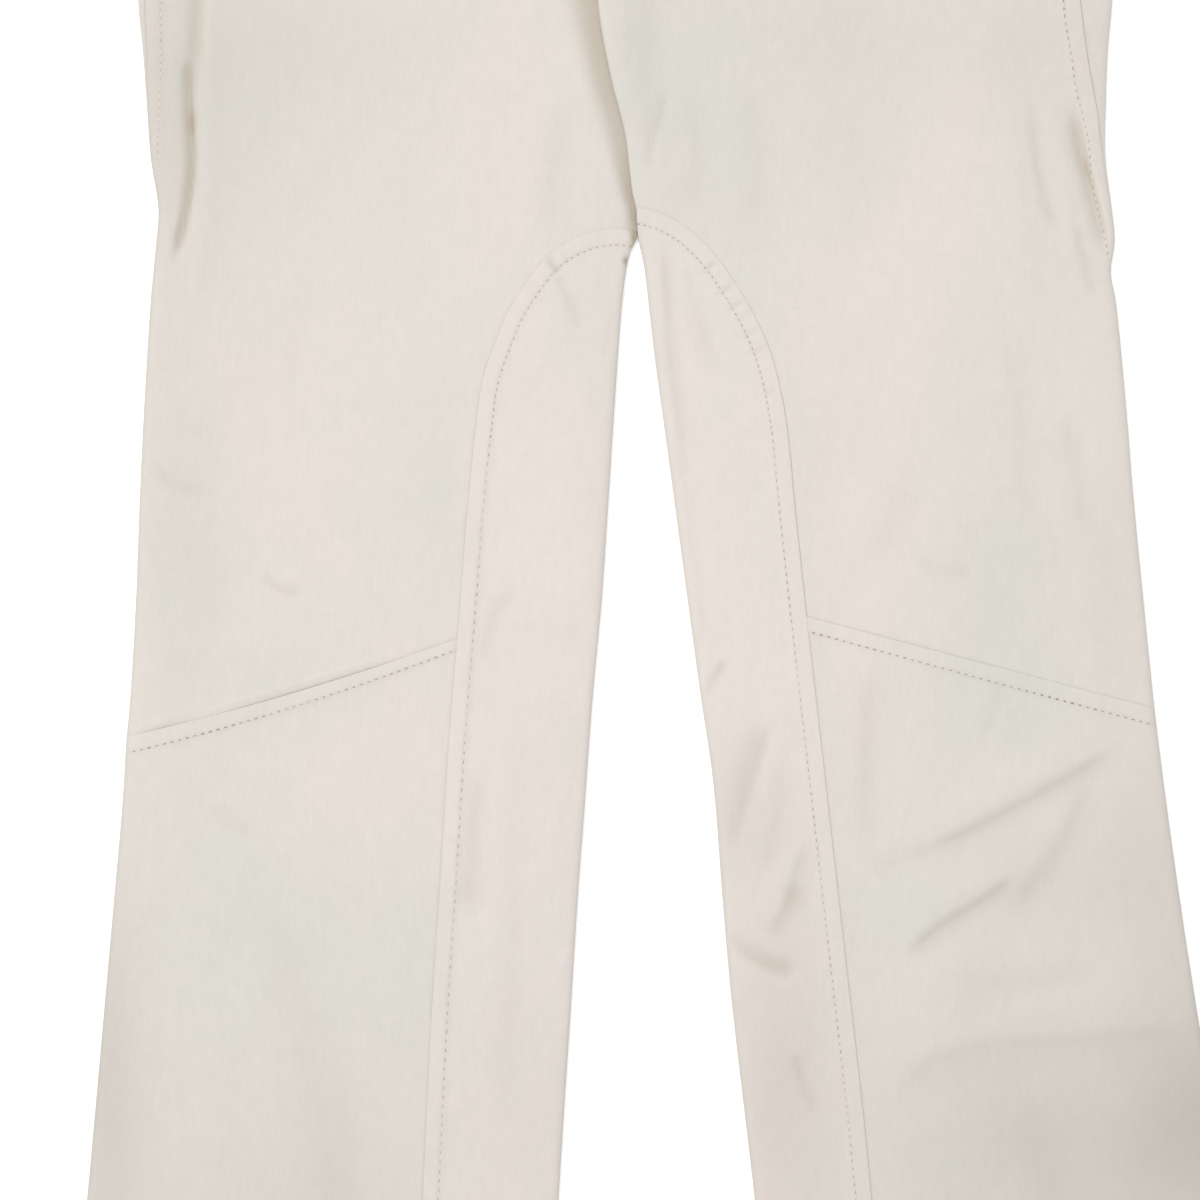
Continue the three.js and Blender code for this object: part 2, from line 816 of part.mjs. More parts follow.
for (const side of SIDES) {
  add(`front_thigh_${side}`, frontThigh(side), COLOURS.front);
  add(`front_shin_${side}`, frontShin(side), COLOURS.shin);
  add(`saddle_front_${side}`, saddleFront(side), COLOURS.saddle);
  add(`saddle_back_${side}`, saddleBack(side), COLOURS.saddle);
  add(`back_${side}`, back(side), COLOURS.back);
  add(`waistband_front_${side}`, frontBand(side), COLOURS.band);
}
add('waistband_back', backBand(), COLOURS.band);

const button = add('button', buttonGeometry(), COLOURS.button, 0.4, 0.8);
const buttonDown = BAND_WIDTH / 2 - FRONT_RISE;
const buttonPoint = centreLine.front.at(centreLine.front.whereDown(buttonDown));
const bandTop = frontStation(buttonPoint, BAND, 0, BAND.wall + SEAM_GAP).outer.z;
button.position.set(CROTCH.x + buttonPoint.x, CROTCH.y - buttonPoint.y, bandTop + SEAM_GAP);

export default garment;
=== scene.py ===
"""Wide-leg cotton jeans, lying flat with the front side up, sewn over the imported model.

Tables are in millimetres, measured from the crotch point: "across" runs towards the wearer's
left leg and "down" towards the hems. Right and left are the wearer's. The front layer follows
one height function, with its creases, and each panel adds its own seams to it. At a lapped
seam one panel has a rolled edge and a topstitched strip, and the other runs on beneath it.
"""

import math

import bmesh
import bpy
import numpy as np
from mathutils import Matrix, Vector


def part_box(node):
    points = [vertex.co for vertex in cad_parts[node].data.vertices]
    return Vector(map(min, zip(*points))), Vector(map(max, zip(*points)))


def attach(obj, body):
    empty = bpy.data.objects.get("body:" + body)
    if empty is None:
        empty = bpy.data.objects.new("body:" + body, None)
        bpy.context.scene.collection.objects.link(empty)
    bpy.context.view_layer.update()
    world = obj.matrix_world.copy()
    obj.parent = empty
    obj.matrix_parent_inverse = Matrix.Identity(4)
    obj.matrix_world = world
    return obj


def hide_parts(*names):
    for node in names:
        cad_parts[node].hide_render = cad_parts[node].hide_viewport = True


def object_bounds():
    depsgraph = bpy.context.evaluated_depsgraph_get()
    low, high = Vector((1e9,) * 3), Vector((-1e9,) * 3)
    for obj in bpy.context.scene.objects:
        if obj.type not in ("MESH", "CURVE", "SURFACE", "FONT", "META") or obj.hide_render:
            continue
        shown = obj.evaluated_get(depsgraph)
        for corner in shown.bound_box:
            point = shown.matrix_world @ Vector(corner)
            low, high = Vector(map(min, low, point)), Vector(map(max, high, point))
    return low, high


bl_info = {
    "name": "Flat-laid Jeans",
    "version": (1, 0, 0),
    "blender": (4, 5, 0),
    "location": "3D View > Sidebar > Jeans",
    "description": "Sews wide-leg cotton jeans over their packed model",
    "category": "Add Mesh",
}

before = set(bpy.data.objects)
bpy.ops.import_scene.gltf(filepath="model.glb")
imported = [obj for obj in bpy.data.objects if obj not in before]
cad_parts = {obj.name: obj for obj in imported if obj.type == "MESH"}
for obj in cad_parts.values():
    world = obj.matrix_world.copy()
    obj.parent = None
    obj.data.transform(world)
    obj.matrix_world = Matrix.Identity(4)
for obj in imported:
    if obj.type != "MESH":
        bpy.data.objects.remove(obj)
CAD_LOW, CAD_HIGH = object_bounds()

MM = 0.001

# Driving dimensions, in millimetres
INSEAM = 790
FRONT_RISE = 278
BACK_RISE = 305
SIDE_RISE = 292
RISES = {"front": FRONT_RISE, "back": BACK_RISE}
SEAM_STRIP = 9  # seam to topstitch
EDGE_STITCH = 2.5  # folded edge to the topstitch beside it
HEM_DEPTH = 20
HALF_HEM = 332.5  # widest point of the right hem from the crotch
SIDES = {"right": -1, "left": 1}

# The crotch point in the row frame, in metres
CROTCH_X = CAD_LOW.x + HALF_HEM * MM
CROTCH_Y = CAD_HIGH.y - BACK_RISE * MM

# How the layers lie, in millimetres
EDGE_MIDDLE = 1.6  # height of the seams at the garment's edges
EDGE_ROLL = 5.0  # how far in the front has turned level
UNDER_ROLL = 2.6  # the same underneath
UNDER_LEVEL = 0.35  # the back's outer face
FRONT_EDGE = 3.2  # height of the front just inside the roll
RISE_WIDTH = 11.0  # how fast the front rises from there
HEIGHT_LEAST = 2.5
HEIGHT_MOST = 7.8
TUCK = 0.95  # how far a lapped panel drops beneath the other
TUCK_START = -0.3  # where it starts to drop, from the seam
TUCK_END = 3.0  # where it has dropped
LAP = 6.0  # how far it runs on beneath
CENTRE_LAP = 8.0  # the same at the centre seams
NO_LAP = -9.0  # stands for the distance to a lap that isn't there
FOLD_FADE = 0.22  # share of a crease's length over which each end dies away
FOLD_POINT = 1.6  # how pointed a crease is: 2 is a round bell
# Painted shade: creases are coloured darker the deeper they are
CREASE_SHADE = 0.11  # how much darker a crease is, for each millimetre of depth
# Painted shade in a stitched groove
STITCH_SHADE = 0.1  # darkness of a stitched groove
KNEE_SPARE = 0.06  # share of a knee seam by which its line starts early, beneath the curved seam
WAIST_FADE = 120  # how far below the waist the rows still bow with it
KNEE_FADE = 80  # the same below a knee seam
FAN = 60  # how far down an inner-leg panel its rows fan out
FINE_TOP = 165  # how far down they lie closer together

# The waistband
BAND_WIDTH = 40
BAND_LAP = 32  # how far its left end runs on over the right one
BAND_LIFT = 2.5  # how far that end is raised
BAND_RAISE = 1.4  # its face above the cloth that it is sewn to
BAND_SIDE = 1.1  # height of its rolled edges
BAND_ROLL = 1.0  # how far in they are level
BAND_STITCH = 2.4  # edge to topstitch
NO_END = 99.0  # stands for the distance to an end that isn't there

# The fly's curved topstitch: its distance from the centre, and where it turns in and ends
FLY_WIDTH = 35
FLY_TURN = -176
FLY_FOOT = -150

VIEW_MIDDLE = (-20.7, 203.3)  # across, down

# The rectangle that holds each piece of cloth when it is laid flat, in metres, and the share of
# it that the piece covers
CUTS = {
    "front_thigh": (0.275, 0.545, 0.86),
    "front_shin": (0.225, 0.585, 0.9),
    "saddle": (0.092, 0.84, 0.78),
    "back": (0.305, 1.06, 0.76),
    "waistband_front": (0.25, 0.04, 0.9),
    "waistband_back": (0.5, 0.04, 0.9),
}

# Outer edges of the flattened garment: down, right, left
OUTER = np.array(
    [
        (-SIDE_RISE, -229, 213), (-252, -238, 223), (-222, -256, 243), (-192, -271, 259),
        (-162, -278.5, 266.6), (-133, -279.4, 266.2), (-105, -276.8, 263.8), (-77, -274.7, 262.7),
        (-45, -272.4, 262.4), (-15, -268, 266), (2, -269.2, 267.6), (20, -270.9, 265.3),
        (35, -272.3, 268), (91, -275.8, 273.6), (147, -278.5, 278.2), (203, -280.6, 283.6),
        (262, -284.1, 289.6), (282, -286, 292), (315, -288, 296.2), (371, -292.9, 304),
        (427, -297.9, 312.6), (539, -308, 331), (INSEAM, -HALF_HEM, 368.6),
    ]
)

# Inner edges of the legs: across, down
INNER = {
    "right": [
        (0.3, -0.4), (-1, 2.6), (-1.9, 4.5), (-3.4, 7.4), (-5, 12.6), (-5.9, 17), (-8.3, 36),
        (-12.4, 91), (-16, 147), (-19.8, 203), (-25, 259), (-29.1, 315), (-33.3, 371), (-36.8, 427),
        (-44, 539), (-57, INSEAM),
    ],
    "left": [
        (0.6, 0.5), (3.9, 16), (6.3, 35), (9.8, 66), (17.2, 120), (28.4, 203), (36, 259),
        (41.2, 293), (44, 318), (48, 371), (53, 427), (66, 539), (92.7, INSEAM),
    ],
}

# Curved seams, over the top of the inner leg and down beside it: across, down
SADDLE = {
    "right": [
        (0.1, -3.6), (-21, -4), (-36.4, 1.7), (-50.4, 10.6), (-61.3, 25.2), (-72.2, 41),
        (-79, 58.8), (-86, 76.7), (-90.7, 111), (-95.2, 155), (-98.8, 203), (-105.3, 283),
        (-110.3, 364), (-115, 435), (-120.1, 539), (-133, INSEAM),
    ],
    "left": [
        (-0.9, -16.4), (10, -14.2), (22.4, -9), (33.8, -0.6), (45, 11.5), (56.2, 27.8),
        (66.6, 45.8), (75.2, 65.4), (83.4, 102), (87.9, 146), (94, 203), (104, 291), (111.2, 354),
        (118.2, 416), (126.3, 487), (131.4, 539), (154, INSEAM),
    ],
}

# Where the thigh panels end, out of sight beneath the curved seams' panels: across, down
HIDDEN = {
    "right": [(-1, -2), (-14, 12), (-44, 44), (-77, 88), (-85, 120), (-90, 170), (-94.5, 240)],
    "left": [(-1, -15), (12, 0), (44, 38), (70, 84), (79, 125), (84, 170), (91, 230)],
}

# Centre seams: across, down
CENTRE = {
    "front": [
        (-16, -FRONT_RISE), (-17, -238), (-21, -190), (-22.3, -133), (-15.2, -90), (-7, -57),
        (-4.3, -36), (-2.8, -24.5), (-0.9, -16.4), (-0.5, -9), (0.1, -3.6), (0.4, 0),
    ],
    "back": [(-14, -BACK_RISE), (-13, -265), (-7, -133), (-0.9, -16.4), (0.1, -3.6), (0.4, 0)],
}

# The fold down the centre front: down, depth, painted shade in it, reach of its slope, reach of the roll
# beside it
CENTRE_FOLD = np.array(
    [
        (-FRONT_RISE, 0.9, 0, 2.5, 0.8), (-215, 1, 0.02, 3, 0.8), (-180, 2.4, 0.36, 12, 1.2),
        (-133, 3.1, 0.6, 13, 1.6), (-90, 3.2, 0.54, 10, 1.6), (-57, 3.2, 0.49, 8.6, 1.4),
        (-36, 3.1, 0.58, 6.4, 1.3), (-16, 2.5, 0.78, 4.6, 1.2), (-3, 1.4, 0.84, 4, 0.8),
        (6, 0.7, 0.6, 3.4, 0.6),
    ]
)

# Knee seams: how far down the curved seam and the outer edge they meet, and their sag
KNEE = {"right": (224.6, 279.6, 3.4), "left": (212.4, 263.8, 0.2)}

# Distance from a knee seam to its topstitch, at the curved seam and at the outer edge
KNEE_STRIP = {"right": (5.6, 9.2), "left": (7.9, 9.3)}

# Puckers across the curved seams: how far along, and strength
PUCKERS = {
    "right": [(46, 0.4), (56, 0.9), (71, 0.5), (338, 0.4), (392, 0.4), (420, 0.5), (466, 0.4)],
    "left": [(57, 1), (73, 0.9), (84, 1), (102, 0.45), (113, 0.6), (139, 0.45)],
}

# Side seams, how far in from the edge on the front: down, right, left
SIDE_WRAP = np.array(
    [
        (-SIDE_RISE, 9, 21), (-240, 8, 20.5), (-133, 4.2, 18.5), (-86, 1.2, 8.3), (-68, 0.6, 4.4),
        (-47, 0.3, 1.6), (-20, 0, 0.6), (6, 0, 0),
    ]
)

# Their topstitches, how far in from the edge: across is the inset, down the place
SIDE_STITCH = {
    "right": [(18, -249), (16, -200), (13.4, -133), (9.7, -95), (6.4, -65), (4.2, -45)],
    "left": [
        (29.5, -249), (29, -200), (27.7, -128), (20.6, -98.6), (17.5, -81), (13.7, -68.3),
        (9.9, -52.6), (8.2, -18.5), (5, 4.5), (3, 12),
    ],
}

# Height of the front, well in from the edges: down, height
PLATEAU = np.array(
    [(-SIDE_RISE, 5), (-200, 5.8), (-60, 5.8), (60, 5.4), (250, 5.1), (480, 4.8), (INSEAM, 4.5)]
)

# Creases (below 0) and ridges of the front: height, reach towards the wearer's right and left
# where the path runs down, and the path as across and down
FOLDS = [
    # beside the centre fold
    (1.9, 7, 15, [(-8, -215), (-14, -133), (-7, -90), (3, -50), (11, -14), (15, 12)]),
    (-1.6, 2.8, 1.4, [(16, -84), (14, -68), (11, -57), (8.5, -44), (6.5, -30)]),
    (-0.6, 5, 6, [(8, -140), (10, -90), (9, -58)]),
    (-0.7, 7, 7, [(30, -82), (34, -45), (33, -8)]),
    (-0.6, 8, 8, [(64, -90), (68, -35), (62, 5)]),
    (-0.6, 6, 8, [(-38, -76), (-46, -35), (-52, 2)]),
    (-1, 3.4, 4, [(-45, 19), (-39, 32), (-34, 44), (-31, 56)]),
    (-0.9, 2, 2, [(-48.5, 11), (-46, 16), (-43, 21)]),
    # right hip and thigh
    (-6, 2.2, 1.8, [(-250.4, -100), (-250.4, -86), (-249.8, -74), (-249.2, -62), (-248.9, -54)]),
    (
        -6.6, 2.7, 1.8,
        [
            (-249.5, -78), (-249, -62), (-248.7, -50), (-248.7, -38), (-249.8, -27),
            (-252.2, -12), (-259.6, 18),
        ],
    ),
    (-3, 4.6, 3.2, [(-245, -215), (-245.6, -160), (-245.6, -125), (-246.4, -100), (-248.6, -74)]),
    (1.1, 5, 6, [(-238, -160), (-239, -100), (-240, -45), (-244, 10), (-250, 60)]),
    (0.8, 5, 4, [(-258, -140), (-260, -90), (-260, -45), (-264, -8)]),
    (-0.7, 4, 4, [(-266, -130), (-266, -90), (-264, -50), (-266, -16)]),
    (-1, 4, 3.5, [(-274, 124), (-262, 137), (-250, 143), (-236, 141)]),
    (0.5, 5, 5, [(-268, 116), (-256, 129), (-240, 132)]),
    (-0.6, 3.5, 3.5, [(-278, 164), (-272, 175), (-264, 182)]),
    (-1.1, 2.4, 2.4, [(-210, 189), (-203, 195.5), (-195, 199.5), (-185, 197)]),
    (0.4, 3, 3, [(-206, 187), (-196, 192.5), (-186, 191)]),
    (-0.35, 7, 7, [(-176, 20), (-188, 52), (-195, 88)]),
    (-0.3, 10, 10, [(-236, 90), (-238, 160), (-232, 230)]),
    # right inner leg
    (-0.8, 3.5, 4.5, [(-64, 194), (-79, 213), (-86, 242)]),
    (-0.4, 5, 5, [(-66, 216), (-44, 222), (-18, 216)]),
    (-0.7, 3.5, 3.5, [(-33, 338), (-36, 350), (-42, 362)]),
    (-1.1, 3, 4, [(-12, 36), (-14.5, 52), (-18, 70)]),
    (-0.5, 8, 8, [(-60, 250), (-66, 330), (-70, 430), (-76, 520)]),
    # right shin
    (-1.3, 5, 6, [(-88, 296), (-89.5, 320), (-92, 356), (-94, 384)]),
    (-1, 3.5, 3.5, [(-292, 290), (-283, 300), (-274, 309)]),
    (-0.6, 4, 4, [(-236, 318), (-226, 328), (-213, 335)]),
    (-0.7, 13, 13, [(-205, 360), (-192, 420), (-174, 500), (-166, 600)]),
    (-0.4, 9, 9, [(-166, 440), (-162, 520), (-158, 610)]),
    (0.5, 16, 16, [(-240, 360), (-236, 450), (-230, 560)]),
    # left hip and thigh
    (-1.3, 3, 3.4, [(221, -80), (222, -62), (224, -41), (227, -27), (231, -13), (239, 3)]),
    (-1.6, 2.6, 4, [(246, -8), (249, 8), (254, 25), (258, 36)]),
    (-5, 1.8, 1, [(248, -50), (252.4, -37), (254.8, -30), (258.2, -18), (262.4, -3), (265.6, 8)]),
    (
        -4.4, 4.6, 1.6,
        [(244, -76), (248, -54), (251.5, -39), (253.8, -30), (257, -18), (261, 0), (264, 14)],
    ),
    (0.6, 8, 8, [(206, -100), (211, -50), (214, 0), (222, 50)]),
    (0.7, 5, 5, [(232, -80), (235, -50), (240, -20), (247, 20)]),
    (-0.9, 5, 7, [(240, 96), (247, 135), (254, 172)]),
    (-0.6, 7, 9, [(154, 136), (144, 160), (134, 188)]),
    (-0.6, 3.5, 4, [(154, 182), (172, 187), (192, 189)]),
    (-0.4, 5, 9, [(205, 40), (214, 100), (218, 170)]),
    # left inner leg
    (-2.2, 3, 3.6, [(15, -6), (16.6, 22), (18, 42), (19.5, 68), (22.5, 90), (25, 112), (28, 140)]),
    (-1.2, 3, 3.4, [(24, 112), (27, 140), (31, 170), (36, 205), (41, 235)]),
    (-0.5, 4, 4, [(36, 40), (40, 58), (46, 82)]),
    (-0.5, 4, 5, [(26, 10), (33, 40), (38, 76)]),
    (-2.6, 2.6, 2.4, [(51, 236), (46, 244), (40, 254), (35, 263)]),
    (-2, 9, 2.2, [(75.4, 269), (72, 283), (65.2, 305), (58, 327), (51, 350)]),
    (0.8, 5, 7, [(80, 276), (74, 304), (68, 330)]),
    (-0.9, 5, 9, [(81, 292), (78, 330), (71, 362)]),
    (0.8, 7, 3, [(90, 340), (85, 358), (80, 374), (72, 386)]),
    (-1, 3, 8, [(96, 340), (91, 352), (88, 366), (84, 380)]),
    (-1.6, 6, 6, [(90, 360), (86.5, 374), (81, 385), (74, 394)]),
    (0.8, 6, 6, [(50, 366), (55, 380), (62, 389)]),
    (-3, 2.6, 5, [(44, 387), (51, 393), (61, 401), (72, 407), (92, 414)]),
    (0.6, 5, 5, [(54, 408), (72, 418), (92, 422)]),
    (-0.6, 5, 5, [(52, 414), (56, 430), (62, 448)]),
    (-0.7, 3.5, 4, [(58, 482), (66, 492), (78, 500)]),
    (-1.2, 2.4, 4, [(87, 455), (91, 467), (95, 478), (100, 494)]),
    # left shin
    (-0.9, 6, 9, [(129, 236), (130.5, 262), (129, 300), (127, 350)]),
    (-0.5, 4, 5, [(205, 246), (200, 266), (193, 284)]),
    (-2.1, 3, 8, [(276, 282), (251, 297.5), (223, 313.5), (208, 321.5), (180, 335.5), (150, 347.5)]),
    (-0.7, 5, 5, [(166, 342), (146, 350), (127, 355)]),
    (0.8, 8, 8, [(246, 288), (210, 306), (180, 322), (150, 336)]),
    (-2.2, 2.4, 7, [(216, 354.5), (203, 365), (194.5, 371), (186, 376), (169, 386.5), (148, 404)]),
    (0.7, 6, 6, [(204, 354), (184, 365), (164, 378)]),
    (-1.5, 5, 9, [(253, 300), (248, 320), (240, 337), (231, 351), (220, 365), (206, 383)]),
    (-0.8, 9, 9, [(170, 424), (200, 420), (232, 417), (262, 408)]),
    (
        -1.3, 16, 6,
        [(142, 500), (155, 471), (178, 458.5), (202, 454), (242, 451.5), (292, 448), (330, 452)],
    ),
    (0.8, 9, 9, [(206, 434), (240, 430), (276, 426)]),
    (-1, 14, 14, [(214, 470), (232, 540), (240, 620), (252, 710)]),
    (0.5, 16, 16, [(180, 500), (192, 570), (204, 660)]),
]

# Uneven colour: across, down, reach across, reach down, how pink (below 0: how cool), how much darker:
# partly uneven wear and partly painted shade, strongest towards the hems and the lower right
TONES = np.array(
    [
        (-65, -50, 40, 80, 0.6, 0), (-217, 95, 38, 80, 0.5, 0), (-185, 150, 40, 60, 0.35, 0),
        (-52, 180, 32, 70, 1, 0), (-135, 292, 42, 62, 1, 0), (-180, 318, 30, 40, 0.6, 0),
        (-150, -60, 60, 60, 0.1, 0.02), (-77, 326, 26, 50, 0.5, 0), (-225, -60, 42, 66, -0.8, 0.02),
        (-256, 181, 26, 76, -0.8, 0.03), (-45, -15, 9, 60, -0.8, 0), (-20, 50, 24, 44, -0.7, 0),
        (-112, 147, 16, 40, -0.9, 0), (-217, 385, 62, 84, -0.8, 0.02), (-125, 400, 40, 50, -0.8, 0),
        (-200, 250, 50, 28, -0.6, 0.01), (-298, 380, 16, 100, 0.3, 0.08),
        (-172, -110, 80, 40, 0, 0.08), (-273, -80, 14, 90, 0.4, 0.12),
        (-240, -110, 70, 90, 0, 0.07), (-262, 140, 20, 120, 0, 0.05), (-250, -20, 50, 170, 0, 0.06),
        (-300, 480, 26, 100, 0, 0.24), (320, 470, 34, 80, 0, 0.2), (-259, -60, 9, 70, 0.2, 0.1),
        (84, 480, 34, 110, 0.1, 0.2), (-6.3, 13.4, 1.7, 2.4, 0, 0.9), (40, -75, 42, 76, -1, 0.04),
        (0, -105, 20, 66, -0.7, 0.08), (110, -120, 70, 34, -0.3, 0.08), (132, 46, 45, 72, 0.9, 0),
        (118, -52, 28, 40, -0.7, 0.05), (130, 165, 32, 50, 0.9, 0), (120, 240, 18, 60, 0.9, 0),
        (38, 180, 18, 50, 0.6, 0), (181, -32, 28, 44, 0.5, 0), (226, -20, 24, 60, -0.7, 0.01),
        (205, 80, 40, 60, -0.3, 0), (206, 196, 44, 60, -0.9, 0.03), (264, 205, 13, 60, 0.4, 0.1),
        (203, 262, 44, 28, -0.8, 0.01), (64, 20, 18, 60, -0.6, 0), (226, -105, 50, 50, 0.2, 0.1),
        (55, 320, 18, 40, 0.1, 0.12), (60, 250, 20, 30, 0.5, 0), (150, 372, 34, 30, -0.8, 0),
        (120, 400, 20, 60, -0.3, 0), (232, 366, 50, 34, 0.4, 0.12), (288, 354, 34, 70, 0.1, 0.15),
        (215, 430, 70, 30, 0.1, 0.06), (300, 500, 80, 60, 0, 0.3), (250, 600, 120, 90, 0, 0.2),
        (205, 490, 50, 34, -0.1, 0.08), (70, 460, 26, 60, 0.4, 0.04),
        (170, 520, 60, 60, -0.3, 0.08), (-60, 480, 40, 60, 0, 0.08), (-200, 540, 90, 70, 0, 0.12),
        (-140, 640, 110, 90, 0, 0.1),
    ]
)

# Shallow creases of the back, pressed up from beneath, in the same form
BACK_FOLDS = [
    (0.8, 9, 9, [(-150, -60), (-100, -30), (-60, -14)]),
    (0.8, 9, 9, [(140, -64), (96, -34), (60, -22)]),
    (0.6, 12, 12, [(-220, -150), (-224, -80), (-226, 0)]),
    (0.6, 12, 12, [(214, -150), (220, -80), (222, 0)]),
    (0.7, 7, 7, [(-250, 262), (-200, 272), (-140, 258)]),
    (0.7, 7, 7, [(262, 250), (210, 258), (150, 246)]),
    (0.6, 8, 8, [(-240, 300), (-190, 296), (-150, 304)]),
    (0.6, 8, 8, [(250, 292), (196, 284), (160, 296)]),
    (0.6, 14, 14, [(-214, 420), (-206, 540), (-214, 690)]),
    (0.6, 14, 14, [(230, 420), (236, 540), (252, 690)]),
]


def length(**words):
    return bpy.props.FloatProperty(unit="LENGTH", precision=5, **words)


def colour(**words):
    return bpy.props.FloatVectorProperty(subtype="COLOR", size=3, min=0, max=1, **words)


class ClothSettings(bpy.types.PropertyGroup):
    """The twill, and how finely it is modelled."""

    wall: length(name="Wall", description="Thickness of one layer of twill", default=0.0008)
    band: length(name="Waistband", description="Thickness of the folded waistband", default=0.002)
    spacing: length(name="Spacing", description="Distance between points of the cloth", default=0.0023)
    under_spacing: length(
        name="Spacing beneath", description="The same on the side that lies down", default=0.0046
    )
    front: colour(name="Front", description="Colour of the thighs", default=(0.569, 0.531, 0.46))
    shin: colour(name="Shin", description="Colour of the shins", default=(0.562, 0.529, 0.46))
    saddle: colour(
        name="Inner leg", description="Colour of the inner legs", default=(0.582, 0.537, 0.468)
    )
    back: colour(name="Back", description="Colour of the back", default=(0.562, 0.526, 0.455))
    # The colour of the painted shade, mixed into the cloth in creases, seams, stitched grooves, puckers
    # and along the turned edges
    soil: colour(
        name="Soil", description="Colour that gathers in hollows", default=(0.33, 0.275, 0.2)
    )


class SewingSettings(bpy.types.PropertyGroup):
    """Seams, topstitches and the button."""

    strip: length(name="Strip", description="Height of a topstitched strip", default=0.00062)
    pitch: length(name="Pitch", description="Length of one topstitch", default=0.0046)
    thread: length(name="Thread", description="Width of the thread", default=0.00055)
    needle: length(name="Needle hole", description="Radius of a needle hole", default=0.00055)
    pucker: length(name="Pucker", description="Height of the puckers at seams", default=0.0003)
    thread_colour: colour(
        name="Thread", description="Colour of the topstitches", default=(0.68, 0.63, 0.56)
    )
    # Colour of the painted shade at each needle hole
    hole_shade_colour: colour(
        name="Needle hole", description="Colour of the needle holes", default=(0.41, 0.365, 0.3)
    )
    button_colour: colour(
        name="Button", description="Colour of the button", default=(0.52, 0.49, 0.44)
    )


class StageSettings(bpy.types.PropertyGroup):
    """Floor, light and camera."""

    floor: bpy.props.FloatProperty(
        name="Floor", description="Lightness of the floor", default=0.97, subtype="FACTOR"
    )
    key: bpy.props.FloatProperty(
        name="Key", description="Power of the large soft light", default=100.0, unit="POWER"
    )
    top: bpy.props.FloatProperty(
        name="Top", description="Power of the light above", default=52.0, unit="POWER"
    )
    fill: bpy.props.FloatProperty(
        name="Fill", description="Strength of the light from all round", default=0.85
    )
    lens: bpy.props.FloatProperty(
        name="Lens", description="Focal length in millimetres", default=85.0, subtype="DISTANCE_CAMERA"
    )
    width: length(name="View", description="Width of cloth that the camera takes in", default=0.672)


GROUPS = {"jeans_cloth": ClothSettings, "jeans_sewing": SewingSettings, "jeans_stage": StageSettings}


def read(table, down, column=1):
    """A column of a table whose first one is the place down the garment."""
    return np.interp(down, table[:, 0], table[:, column])


def smooth(value, start, end):
    """0 before start, 1 after end, and a smooth turn between."""
    t = np.clip((value - start) / (end - start), 0, 1)
    return t * t * (3 - 2 * t)


def bell(distance, width):
    """1 at no distance, falling away smoothly over a width."""
    return np.exp(-((distance / width) ** 2))


def quarter(distance, radius):
    """Profile of a rolled edge: 0 at the edge, upright there, and 1 from the radius on."""
    return np.sqrt(1 - (1 - np.clip(distance / radius, 0, 1)) ** 2)


def heading(vectors):
    """The vectors with a length of 1."""
    return vectors / np.maximum(np.linalg.norm(vectors, axis=-1, keepdims=True), 1e-9)


def cross(a, b):
    """How far b turns from a, as the sine of the angle where both have a length of 1."""
    return a[..., 0] * b[..., 1] - a[..., 1] * b[..., 0]


